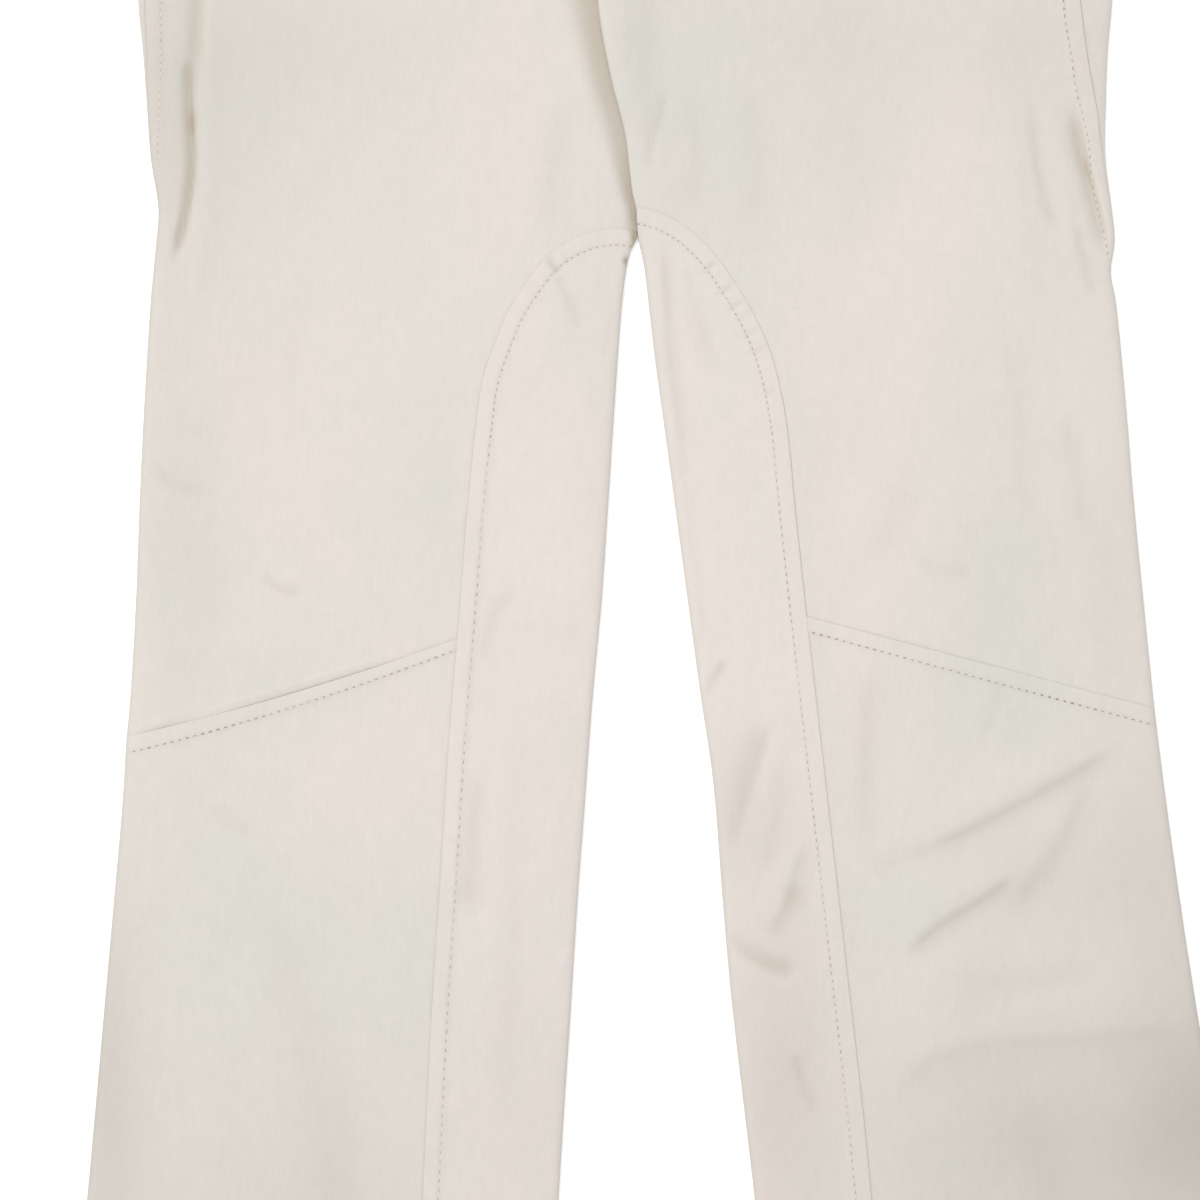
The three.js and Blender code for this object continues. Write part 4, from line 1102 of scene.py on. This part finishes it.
class Maker:
    """Makes one material: its nodes, their settings and their links."""

    def __init__(self, name, **shader):
        self.material = bpy.data.materials.new(name)
        self.material.use_nodes = True
        self.tree = self.material.node_tree
        self.shader = next(n for n in self.tree.nodes if n.type == "BSDF_PRINCIPLED")
        for socket, value in shader.items():
            self.shader.inputs[socket.replace("_", " ")].default_value = value

    def node(self, kind, options=None, inputs=None):
        made = self.tree.nodes.new(kind)
        for key, value in (options or {}).items():
            setattr(made, key, value)
        for key, value in (inputs or {}).items():
            self.fill(made.inputs[key], value)
        return made

    def fill(self, socket, value):
        if isinstance(value, Num):
            value = value.socket
        if isinstance(value, bpy.types.NodeSocket):
            self.tree.links.new(value, socket)
        else:
            socket.default_value = value

    def mark(self, name):
        """A value that the cloth carries from point to point."""
        return Num(self, self.node("ShaderNodeAttribute", {"attribute_name": name}).outputs["Fac"])

    def place(self, scale=(1, 1, 1), turn=0.0):
        """Object coordinates, stretched and turned."""
        where = self.node("ShaderNodeTexCoord").outputs["Object"]
        inputs = {"Vector": where, "Scale": scale, "Rotation": (0, 0, turn)}
        return self.node("ShaderNodeMapping", {}, inputs).outputs[0]

    def noise(self, place, scale, detail=2.0, roughness=0.5):
        inputs = {"Vector": place, "Scale": scale, "Detail": detail, "Roughness": roughness}
        return Num(self, self.node("ShaderNodeTexNoise", {}, inputs).outputs[0])

    def waves(self, place, pitch, wobble):
        """Parallel ridges across X, one each pitch."""
        inputs = {"Vector": place, "Scale": math.pi / (10 * pitch), "Distortion": wobble}
        inputs["Detail Scale"] = 3.0
        options = {"wave_type": "BANDS", "bands_direction": "X", "wave_profile": "SIN"}
        return Num(self, self.node("ShaderNodeTexWave", options, inputs).outputs["Fac"])

    def mix(self, factor, a, b):
        node = self.node("ShaderNodeMix", {"data_type": "RGBA"}, {0: factor, 6: a, 7: b})
        return node.outputs[2]

    def shades(self, factor, rgb, dark, light):
        """From a darker to a lighter shade of one colour."""
        return self.mix(factor, scaled(rgb, dark), scaled(rgb, light))

    def bump(self, height, distance, strength, normal=None):
        inputs = {"Height": height, "Distance": distance, "Strength": strength}
        if normal is not None:
            inputs["Normal"] = normal
        return self.node("ShaderNodeBump", {}, inputs).outputs[0]

    def finish(self, **inputs):
        for socket, value in inputs.items():
            self.fill(self.shader.inputs[socket.replace("_", " ")], value)
        return self.material


def scaled(rgb, factor):
    return (*(min(1.0, part * factor) for part in rgb), 1.0)


def twill(name, rgb, soil):
    """Cream cotton twill: fine diagonal ribs, uneven yarns and an uneven pink tint, with painted shade in
    its creases, seams and edges, and a darkening that is partly wear and partly painted shade."""
    m = Maker(name, Specular_IOR_Level=0.2)
    warp = m.noise(m.place((1, 0.1, 1)), 900, 3, 0.6)
    weft = m.noise(m.place((0.1, 1, 1)), 900, 3, 0.6)
    ribs = m.waves(m.place((1, 1, 1), math.radians(27)), 0.0009, 1.5)
    cloud = m.noise(m.place((1, 0.7, 1)), 24, 4, 0.6)
    mottle = m.noise(m.place((1, 0.5, 1)), 170, 4, 0.6)
    hollow, pink, worn = m.mark("hollow"), m.mark("pink"), m.mark("worn")
    blush = pink * 0.4 + cloud * 0.5 + mottle * 0.3 + 0.06
    tone = warp * 0.45 + weft * 0.25 + mottle * 0.3
    red, green, blue = rgb
    cool = m.shades(tone, (red * 0.94, green * 0.985, blue * 1.04), 0.9, 1.1)
    warm = m.shades(tone, (red * 1.05, green * 1.01, blue * 1.1), 0.9, 1.1)
    # darker where the cloth is marked: partly uneven wear and partly painted shade, strongest towards the
    # hems and the lower right
    faded_and_shaded = m.mix(worn, m.mix(blush, cool, warm), scaled(rgb, 0.5))
    height = ribs * 0.35 + warp * 0.45 + weft * 0.35
    return m.finish(
        # painted shade mixed in where the cloth carries it
        Base_Color=m.mix(hollow, faded_and_shaded, scaled(soil, 1)),
        Roughness=0.86 + 0.1 * warp,
        Normal=m.bump(height, 0.00016, 0.6, m.bump(mottle, 0.0006, 0.35)),
    )


def thread_material(rgb):
    """Twisted cotton thread."""
    m = Maker("topstitch_thread", Specular_IOR_Level=0.3, Sheen_Weight=0.1)
    twist = m.waves(m.place((1, 1, 1), math.radians(50)), 0.0005, 0.4)
    fuzz = m.noise(m.place(), 1500, 2)
    tone = twist * 0.5 + fuzz * 0.5
    return m.finish(
        Base_Color=m.shades(tone, rgb, 0.8, 1.15),
        Roughness=0.75 + 0.15 * fuzz,
        Normal=m.bump(twist, 0.00008, 0.7),
    )


def hole_shade_material(rgb):
    """Painted shade at a needle hole, where the thread dives into the cloth: darker in some places than in
    others.
    """
    m = Maker("needle_hole", Specular_IOR_Level=0.1)
    grain = m.noise(m.place(), 2000, 2)
    depth = m.noise(m.place(), 22, 3, 0.6)
    colours = m.shades(depth * 1.3 - 0.15, rgb, 0.6, 1.3)
    return m.finish(Base_Color=colours, Roughness=0.9 + 0.1 * grain)


def metal_material(rgb):
    """Brushed metal with light wear."""
    m = Maker("button_metal", Metallic=1.0)
    brushed = m.noise(m.place((1, 0.04, 1)), 3000, 3)
    worn = m.noise(m.place(), 420, 4, 0.7)
    return m.finish(
        Base_Color=m.shades(worn, rgb, 0.72, 1.25),
        Roughness=0.26 + 0.2 * worn + 0.1 * brushed,
        Normal=m.bump(brushed, 0.00003, 0.4),
    )


def floor_material(lightness):
    m = Maker("pale_floor", Roughness=1.0, Specular_IOR_Level=0.0)
    tooth = m.noise(m.place(), 60, 2)
    dim, light = ((tone, tone, tone, 1) for tone in (lightness - 0.005, lightness))
    return m.finish(Base_Color=m.mix(tooth, dim, light))


def material(name, make, *values):
    """A material by name, made the first time it is asked for."""
    return bpy.data.materials.get(name) or make(*values)


def twill_for(part, cloth):
    name = f"twill_{part}"
    return material(name, twill, name, tuple(getattr(cloth, part)), tuple(cloth.soil))


def upright(height_of, points):
    """Places on a surface and its normals there, from its height function."""
    step = 0.25
    east, south = np.array([step, 0]), np.array([0, step])
    slope_x = (height_of(points + east) - height_of(points - east)) / (2 * step)
    slope_y = -(height_of(points + south) - height_of(points - south)) / (2 * step)
    normal = np.stack([-slope_x, -slope_y, np.ones(len(points))], axis=-1)
    return placed(points, height_of(points)), heading(normal)


def seats(height_of, line, distances, facing):
    """Places along a line, each with its way off the cloth and its turn along the line."""
    places, normals = upright(height_of, line.at(distances))
    for place, up, (across, down) in zip(places, normals, line.way(distances)):
        up = Vector(up) * facing
        forward = Vector((across, -down, 0))
        forward = (forward - up * forward.dot(up)).normalized()
        yield Vector(place), up, Matrix((forward, up.cross(forward), up)).transposed().to_4x4()


def stitch_row(bm, holes, height_of, line, start, end, sewing, facing=1, pitch=None, bold=1.0):
    """Topstitches along part of a line: a short thread each, with a disc of painted shade at the needle
    hole between.
    """
    pitch = pitch or sewing.pitch / MM
    uneven = np.random.default_rng(round(1000 * line.length))
    count = max(1, round((end - start) / pitch))
    step = (end - start) / count
    thread = sewing.thread / 2
    middles = start + step * (np.arange(count) + 0.5)
    knots = start + step * np.arange(count + 1)
    size = Matrix.Diagonal((0.39 * step * MM, thread, thread * 0.6, 1))
    for spot, up, turn in seats(height_of, line, middles, facing):
        seat = Matrix.Translation(spot + up * thread * 0.25)
        bmesh.ops.create_uvsphere(bm, u_segments=6, v_segments=4, radius=1, matrix=seat @ turn @ size)
    swell = bold * (0.92 + 0.14 * np.sin(knots / 19 + 0.1 * line.length))
    long = swell * uneven.uniform(0.9, 2.1, len(knots))
    wide = swell * uneven.uniform(0.7, 1.1, len(knots))
    for (spot, up, turn), *stretch in zip(seats(height_of, line, knots, facing), long, wide):
        shape = turn @ Matrix.Diagonal((*stretch, 1, 1))
        bmesh.ops.create_cone(
            holes,
            cap_ends=True,
            segments=6,
            radius1=sewing.needle,
            radius2=sewing.needle * 0.6,
            depth=0.0002,
            matrix=Matrix.Translation(spot + up * 0.00006) @ shape,
        )


def sew(node, rows, sewing):
    """Makes the topstitches of one panel. Each row gives stitch_row's values."""
    threads, holes = bmesh.new(), bmesh.new()
    for height_of, line, start, end, *more in rows:
        stitch_row(threads, holes, height_of, line, start, end, sewing, *more)
    # those beneath are pressed flush by the table
    for vertex in (*threads.verts, *holes.verts):
        vertex.co.z = max(vertex.co.z, 0.00002)
    thread = material("topstitch_thread", thread_material, tuple(sewing.thread_colour))
    # the dark discs at the needle holes are painted shade
    hole = material("needle_hole", hole_shade_material, tuple(sewing.hole_shade_colour))
    made = finish_piece(new_object(f"{node}_stitches", threads), thread)
    pricked = finish_piece(new_object(f"{node}_needle_holes", holes), hole)
    return [made, pricked]


def offset_line(line, start, end, offset, growth=(1, 1)):
    """A line beside another, between two distances along it."""
    distances = np.arange(start, end, 1.5)
    offsets = offset * np.interp(distances, (0, line.length), growth)
    return Polyline(line.beside(distances, offsets))


def inset_line(side, table):
    """A line that lies by a given inset from the garment's outer edge."""
    inset = Line(table)
    outer = OUTER_LINE[side]
    low, high = outer.where_down(table[0][1]), outer.where_down(table[-1][1])
    distances = np.arange(low, high, 1.5)
    downs = outer.at(distances)[:, 1]
    insets = np.interp(downs, inset.points[:, 1], inset.points[:, 0])
    return Polyline(outer.beside(distances, -SIDES[side] * insets))


def hem_line(first, last):
    """The hem's topstitch, between two lines that run down to the hem."""
    ends = [line.at(line.where_down(INSEAM - HEM_DEPTH)) for line in (first, last)]
    return Polyline(sorted(ends, key=lambda end: end[0]))


def edge_inset(side, points, edges=OUTER_LINE):
    """How far in from one of the garment's edges points lie."""
    return np.abs(edges[side].nearest(points)[0])


def declare(obj, cut, rests_on, with_pieces):
    """Looks up the cut of one piece of cloth and does nothing with it; what it lies on is not used."""
    width, height, share = CUTS[cut]


class JEANS_OT_thighs(bpy.types.Operator):
    """Adds the two front panels from the waistband to the knees"""

    bl_idname = "jeans.thighs"
    bl_label = "Thighs"

    def execute(self, context):
        cloth, sewing, _ = settings(context)
        sewn = Sewn(sewing)
        look = twill_for("front", cloth)
        for side in SIDES:
            node = f"front_thigh_{side}"
            rows = thigh_rows(side, cloth.spacing / MM)
            surface = sewn.thigh(side, rows.points, rows.inset)
            obj = cloth_panel(node, rows.points, *surface, cloth.wall, 1, look)

            def height_of(points):
                return sewn.thigh(side, points, edge_inset(side, points))[0]

            line = inset_line(side, SIDE_STITCH[side])
            bold = {"right": 0.6, "left": 0.85}[side]
            stitches = [(height_of, line, 1, line.length - 1, 1, 4.2, bold)]
            if side == "left":
                stitches += [(height_of, fly, 1, fly.length - 1) for fly in fly_lines()]
            declare(obj, "front_thigh", f"back_{side}_cloth", sew(node, stitches, sewing))
        return {"FINISHED"}


def fly_lines():
    """Topstitches of the fly: one by the folded edge, and the curved one."""
    centre = CENTRE_LINE["front"]
    downs = BAND_WIDTH - FRONT_RISE, FLY_TURN, FLY_FOOT
    top, turn, foot = (centre.where_down(down) for down in downs)
    edge = offset_line(centre, top, foot, EDGE_STITCH)
    places = np.linspace(top, foot, 60)
    share = np.maximum(places - turn, 0) / (foot - turn)
    inset = FLY_WIDTH * np.sqrt(np.clip(1 - share**2, 0.006, 1))
    return edge, Polyline(centre.beside(places, inset))


class JEANS_OT_shins(bpy.types.Operator):
    """Adds the two front panels from the knees to the hems"""

    bl_idname = "jeans.shins"
    bl_label = "Shins"

    def execute(self, context):
        cloth, sewing, _ = settings(context)
        sewn = Sewn(sewing)
        look = twill_for("shin", cloth)
        for side in SIDES:
            node = f"front_shin_{side}"
            rows = shin_rows(side, cloth.spacing / MM)
            surface = sewn.shin(side, rows.points, rows.inset)
            obj = cloth_panel(node, rows.points, *surface, cloth.wall, 1, look)

            def height_of(points):
                return sewn.shin(side, points, edge_inset(side, points))[0]

            knee = KNEE_LINE[side]
            start = KNEE_SPARE / (1 + KNEE_SPARE) * knee.length
            line = offset_line(knee, start + 1.5, knee.length, -SIDES[side], KNEE_STRIP[side])
            hem = hem_line(SADDLE_LINE[side], OUTER_LINE[side])
            stitches = [
                (height_of, line, 0, line.length - 1.2, 1, 4.4, 1.15),
                (height_of, hem, 2, hem.length - 3),
            ]
            declare(obj, "front_shin", f"back_{side}_cloth", sew(node, stitches, sewing))
        return {"FINISHED"}


class JEANS_OT_inner_legs(bpy.types.Operator):
    """Adds the inner-leg panels, front and back"""

    bl_idname = "jeans.inner_legs"
    bl_label = "Inner legs"

    def execute(self, context):
        cloth, sewing, _ = settings(context)
        sewn = Sewn(sewing)
        look = twill_for("saddle", cloth)
        beneath = cloth.under_spacing / MM, NEAR_STRIP, FAR_UNDER
        above = cloth.spacing / MM, NEAR_STRIP, FAR_EDGE, FINE_TOP
        for side in SIDES:
            under, front = f"saddle_back_{side}", f"saddle_front_{side}"
            for node, shape, facing, grid, rests_on in (
                (under, sewn.under_saddle, -1, beneath, "floor"),
                (front, sewn.saddle, 1, above, f"{under}_cloth"),
            ):
                rows = saddle_rows(side, *grid)
                surface = shape(side, rows.points, rows.inset)
                obj = cloth_panel(node, rows.points, *surface, cloth.wall, facing, look)

                def height_of(points, shape=shape):
                    return shape(side, points, edge_inset(side, points, INNER_LINE))[0]

                lines = saddle_stitches(side)
                stitches = [(height_of, *line, facing, pitch) for *line, pitch in lines]
                declare(obj, "saddle", rests_on, sew(node, stitches, sewing))
        return {"FINISHED"}


def saddle_stitches(side):
    """The curved seam's topstitch and the hem's, each as a line, a start, an end and a pitch."""
    seam = offset_line(SADDLE_LINE[side], 0.5, SADDLE_LINE[side].length, -SEAM_STRIP * SIDES[side])
    hem = hem_line(SADDLE_LINE[side], INNER_LINE[side])
    pitch = {"right": (3.8, 5.2), "left": (3.5, 4.4)}[side]
    bend = 150
    return [
        (seam, 3, bend, pitch[0]),
        (seam, bend, seam.length - 1, pitch[1]),
        (hem, 1.5, hem.length - 1.5, None),
    ]


class JEANS_OT_backs(bpy.types.Operator):
    """Adds the two back panels, which lie on the table and wrap round the hips"""

    bl_idname = "jeans.backs"
    bl_label = "Backs"

    def execute(self, context):
        cloth, sewing, _ = settings(context)
        sewn = Sewn(sewing)
        look = twill_for("back", cloth)
        for side in SIDES:
            node = f"back_{side}"
            surface = back_surface(side, sewn, cloth.under_spacing / MM)
            obj = cloth_panel(node, *surface, cloth.wall, -1, look)

            def height_of(points):
                return sewn.under_back(side, points, edge_inset(side, points))[0]

            hem = hem_line(SADDLE_LINE[side], OUTER_LINE[side])
            stitches = [(height_of, hem, 2, hem.length - 3, -1)]
            if side == "left":
                centre = CENTRE_LINE["back"]
                top, foot = (centre.where_down(place) for place in (BAND_WIDTH - BACK_RISE, -18))
                for offset in (EDGE_STITCH, SEAM_STRIP):
                    line = offset_line(centre, top, foot, offset)
                    stitches.append((height_of, line, 1, line.length - 1, -1))
            declare(obj, "back", "floor", sew(node, stitches, sewing))
        return {"FINISHED"}


def band_heights(stop, ends_gap):
    """A folded band's outer face: rolled along its edges, with a groove at each topstitch."""
    edge = np.minimum(stop, BAND_WIDTH - stop)
    rolled = quarter(np.minimum(edge, ends_gap), BAND_ROLL) * BAND_SIDE - BAND_SIDE
    groove = -0.25 * (bell(edge - BAND_STITCH, 0.7) + bell(ends_gap - BAND_STITCH, 0.7))
    return rolled + groove + 0.1 * np.sin(np.pi * stop / BAND_WIDTH)


def band_face(side, points, inset, stop, from_end):
    """Height of half the waistband's front. The left end is raised over the right one."""
    gap = from_end if side == "left" else np.full(from_end.shape, NO_END)
    height = lay(points)[0] + BAND_RAISE + band_heights(stop, gap)
    lift = BAND_LIFT * (1 - smooth(from_end, BAND_LAP + 1, BAND_LAP + 10))
    return turned_down(height + (lift if side == "left" else 0), inset)


def band_rows(layer, side, spacing, near, far, between):
    """Rows of half a waistband, how far each is from its top edge, and its wrap at the hip."""
    stops = evenly(BAND_WIDTH, spacing, BAND_STOPS, BAND_STOPS)
    centre, outer = CENTRE_LINE[layer], OUTER_LINE[side]
    starts = np.array([centre.at(centre.where_down(stop - RISES[layer])) for stop in stops])
    places = np.array([outer.where_down(stop - SIDE_RISE) for stop in stops])
    ends, way = outer.at(places), outer.way(places)
    wrap = read(SIDE_WRAP, ends[:, 1], WRAP_COLUMN[side])
    # the fronts lap at the centre, and end where the back comes round the hip
    first, inset = (-BAND_LAP / 2, wrap) if layer == "front" else (0, 0)
    rows = Rows(starts, ends, near, far, between, first, inset, None, way)
    return rows.bowed(np.full(len(stops), (SIDE_RISE - RISES[layer]) / 4)), stops, wrap


def buttonhole():
    """Outline of the buttonhole, which runs on from beneath the button."""
    low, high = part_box("button")
    across = ((low.x + high.x) / 2 - CROTCH_X) / MM
    down = (CROTCH_Y - (low.y + high.y) / 2) / MM
    turn = np.linspace(0, 2 * np.pi, 41)
    long = 10 * np.sign(np.cos(turn)) * np.abs(np.cos(turn)) ** 0.35
    return Polyline(np.stack([across + 7 + long, down + 1.3 * np.sin(turn)], axis=1))


def band_end(points):
    """Height of the left waistband's raised end, around the buttonhole."""
    stop = points[:, 1] + FRONT_RISE
    face = band_heights(stop, np.full(len(points), NO_END))
    return lay(points)[0] + BAND_RAISE + BAND_LIFT + face


def stitched_rows(points, stops):
    """The rows of a waistband's points that lie nearest to its two topstitches."""
    for distance in (BAND_STITCH, BAND_WIDTH - BAND_STITCH):
        yield points[int(np.abs(stops - distance).argmin())]


class JEANS_OT_waistband(bpy.types.Operator):
    """Adds the waistband: two fronts that lap at the button, and one back"""

    bl_idname = "jeans.waistband"
    bl_label = "Waistband"

    def execute(self, context):
        cloth, sewing, _ = settings(context)
        look = twill_for("back", cloth)
        for side in SIDES:
            self.front(side, cloth, sewing, look)
        self.back(cloth, sewing, look)
        return {"FINISHED"}

    def front(self, side, cloth, sewing, look):
        node = f"waistband_front_{side}"
        rows, stops, _ = band_rows("front", side, 2.4, NEAR_BAND, FAR_BAND, 3.2)
        from_end = np.linalg.norm(rows.points - rows.points[:, :1], axis=2)
        stop = np.broadcast_to(stops[:, None], from_end.shape)
        height = band_face(side, rows.points, rows.inset, stop, from_end)
        shade = seam_shade(np.minimum(stop, BAND_WIDTH - stop) - BAND_STITCH, 0.12, 1)
        obj = cloth_panel(node, rows.points, height, shade, cloth.band, 1, look)

        stitches = []
        for row in stitched_rows(rows.points, stops):

            def height_of(points, row=row):
                gap = np.linalg.norm(points - row[0], axis=1)
                stop = np.full(len(points), BAND_STITCH)
                return band_face(side, points, edge_inset(side, points), stop, gap)

            line = Polyline(row)
            stitches.append((height_of, line, 3, line.length - 4))
        if side == "left":
            hole = buttonhole()
            stitches.append((band_end, hole, 0, hole.length, 1, 1, 0.6))
        rests_on = f"front_thigh_{side}_cloth"
        declare(obj, "waistband_front", rests_on, sew(node, stitches, sewing))

    def back(self, cloth, sewing, look):
        node = "waistband_back"
        (right, right_height, _), (left, left_height, stops) = (self.half(side) for side in SIDES)
        points = np.concatenate([right[:, ::-1], left[:, 1:]], axis=1)
        height = np.concatenate([right_height[:, ::-1], left_height[:, 1:]], axis=1)
        shade = np.zeros(height.shape)
        obj = cloth_panel(node, points, height, shade, cloth.band, -1, look)

        def height_of(spots):
            inset = np.minimum(edge_inset("right", spots), edge_inset("left", spots))
            return turned_up(np.full(len(spots), 0.25), inset)

        # the topstitches end where the band starts to turn up at the hips
        turn = len(WRAP_SHARES) + 3
        lines = [Polyline(row[turn:-turn]) for row in stitched_rows(points, stops)]
        stitches = [(height_of, line, 1, line.length - 1, -1) for line in lines]
        declare(obj, node, "floor", sew(node, stitches, sewing))

    def half(self, side):
        """Half of the back, from the centre to what wraps round the edge at the hip."""
        rows, stops, wrap = band_rows("back", side, 4, (0, 4), FAR_UNDER, 6)
        inset = (wrap - 0.3)[:, None] * np.array(WRAP_SHARES)
        outward = heading(rows.ends - rows.starts)
        over = rows.ends[:, None] - outward[:, None] * inset[..., None]
        stop = stops[:, None] + np.zeros(rows.inset.shape)
        edge = np.minimum(stop, BAND_WIDTH - stop)
        rolled = BAND_SIDE * (1 - quarter(edge, BAND_ROLL)) + 0.2 * bell(edge - BAND_STITCH, 0.7)
        under = turned_up(0.05 + rolled, rows.inset)
        stop = stops[:, None] + np.zeros(inset.shape)
        above = lay(over)[0] + BAND_RAISE + band_heights(stop, np.full(inset.shape, NO_END))
        points = np.concatenate([rows.points, over], axis=1)
        return points, np.concatenate([under, turned_down(above, inset)], axis=1), stops


class JEANS_OT_button(bpy.types.Operator):
    """Adds the shank button"""

    bl_idname = "jeans.button"
    bl_label = "Button"

    def execute(self, context):
        _, sewing, _ = settings(context)
        low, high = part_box("button")
        centre = (low + high) / 2
        radius, height = (high.x - low.x) / 2, high.z - low.z
        profile = [
            (0, 0), (0.5, 0), (0.5, 0.36), (0.9, 0.4), (0.98, 0.52), (1, 0.66), (0.97, 0.82),
            (0.9, 0.95), (0.82, 1), (0.74, 0.95), (0.67, 0.84), (0.6, 0.78), (0.3, 0.76), (0, 0.75),
        ]
        bm = bmesh.new()
        verts = [bm.verts.new((r * radius, 0, z * height)) for r, z in profile]
        edges = [bm.edges.new(pair) for pair in zip(verts, verts[1:])]
        bmesh.ops.spin(
            bm,
            geom=verts + edges,
            cent=(0, 0, 0),
            axis=(0, 0, 1),
            angle=2 * math.pi,
            steps=48,
            use_merge=True,
        )
        bmesh.ops.remove_doubles(bm, verts=bm.verts, dist=0.000005)
        bmesh.ops.recalc_face_normals(bm, faces=bm.faces)
        bmesh.ops.translate(bm, verts=bm.verts, vec=(centre.x, centre.y, low.z))
        metal = material("button_metal", metal_material, tuple(sewing.button_colour))
        finish_piece(new_object("button_cap", bm), metal, ["button"])
        return {"FINISHED"}


class JEANS_OT_stage(bpy.types.Operator):
    """Adds the pale floor, the soft light and the camera"""

    bl_idname = "jeans.stage"
    bl_label = "Stage"

    def execute(self, context):
        _, _, stage = settings(context)
        bm = bmesh.new()
        bmesh.ops.create_grid(bm, x_segments=8, y_segments=8, size=3.0)
        bmesh.ops.translate(bm, verts=bm.verts, vec=(0, 0, -0.0002))
        floor = new_object("floor", bm)
        floor.data.materials.append(material("pale_floor", floor_material, stage.floor))
        self.light(context, stage)
        self.camera(context, stage)
        return {"FINISHED"}

    def light(self, context, stage):
        world = bpy.data.worlds.new("soft_studio")
        world.use_nodes = True
        world.node_tree.nodes["Background"].inputs["Color"].default_value = (1, 0.995, 0.985, 1)
        world.node_tree.nodes["Background"].inputs["Strength"].default_value = stage.fill
        context.scene.world = world
        self.lamp(context, "soft_key", Vector((-2.6, 2.1, 3.9)), stage.key)
        self.lamp(context, "soft_top", Vector((0, 0, 4.5)), stage.top)
        context.scene.view_settings.view_transform = "Standard"

    def lamp(self, context, name, place, power):
        """A large round soft light, turned towards the cloth."""
        lamp = bpy.data.lights.new(name, "AREA")
        lamp.shape = "DISK"
        lamp.size = 2.0
        lamp.energy = power
        obj = bpy.data.objects.new(name, lamp)
        obj.location = self.centre() + place
        obj.rotation_euler = (-place).to_track_quat("-Z", "Y").to_euler()
        context.collection.objects.link(obj)

    def centre(self):
        """Middle of the view, on the cloth."""
        across, down = VIEW_MIDDLE
        return Vector((CROTCH_X + across * MM, CROTCH_Y - down * MM, 2 * MM))

    def camera(self, context, stage):
        data = bpy.data.cameras.new("camera")
        data.lens = stage.lens
        data.sensor_width = 36
        camera = bpy.data.objects.new("camera", data)
        distance = stage.width * stage.lens / data.sensor_width
        camera.location = self.centre() + Vector((0, 0, distance))
        context.collection.objects.link(camera)
        context.scene.camera = camera


class JEANS_PT_panel(bpy.types.Panel):
    """Sidebar panel with the settings and the steps of the build"""

    bl_idname = "JEANS_PT_panel"
    bl_label = "Jeans"
    bl_space_type = "VIEW_3D"
    bl_region_type = "UI"
    bl_category = "Jeans"

    def draw(self, context):
        for name, group in GROUPS.items():
            box = self.layout.box()
            for prop in group.__annotations__:
                box.prop(getattr(context.scene, name), prop)
        for operator in OPERATORS:
            self.layout.operator(operator.bl_idname)


OPERATORS = (
    JEANS_OT_stage,
    JEANS_OT_backs,
    JEANS_OT_inner_legs,
    JEANS_OT_shins,
    JEANS_OT_thighs,
    JEANS_OT_waistband,
    JEANS_OT_button,
)


def register():
    for cls in (*GROUPS.values(), *OPERATORS, JEANS_PT_panel):
        bpy.utils.register_class(cls)
    for name, group in GROUPS.items():
        setattr(bpy.types.Scene, name, bpy.props.PointerProperty(type=group))


def unregister():
    for name in GROUPS:
        delattr(bpy.types.Scene, name)
    for cls in reversed((*GROUPS.values(), *OPERATORS, JEANS_PT_panel)):
        bpy.utils.unregister_class(cls)


def main():
    register()
    for operator in OPERATORS:
        group, name = operator.bl_idname.split(".")
        getattr(getattr(bpy.ops, group), name)()
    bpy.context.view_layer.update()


if __name__ == "__main__":
    main()
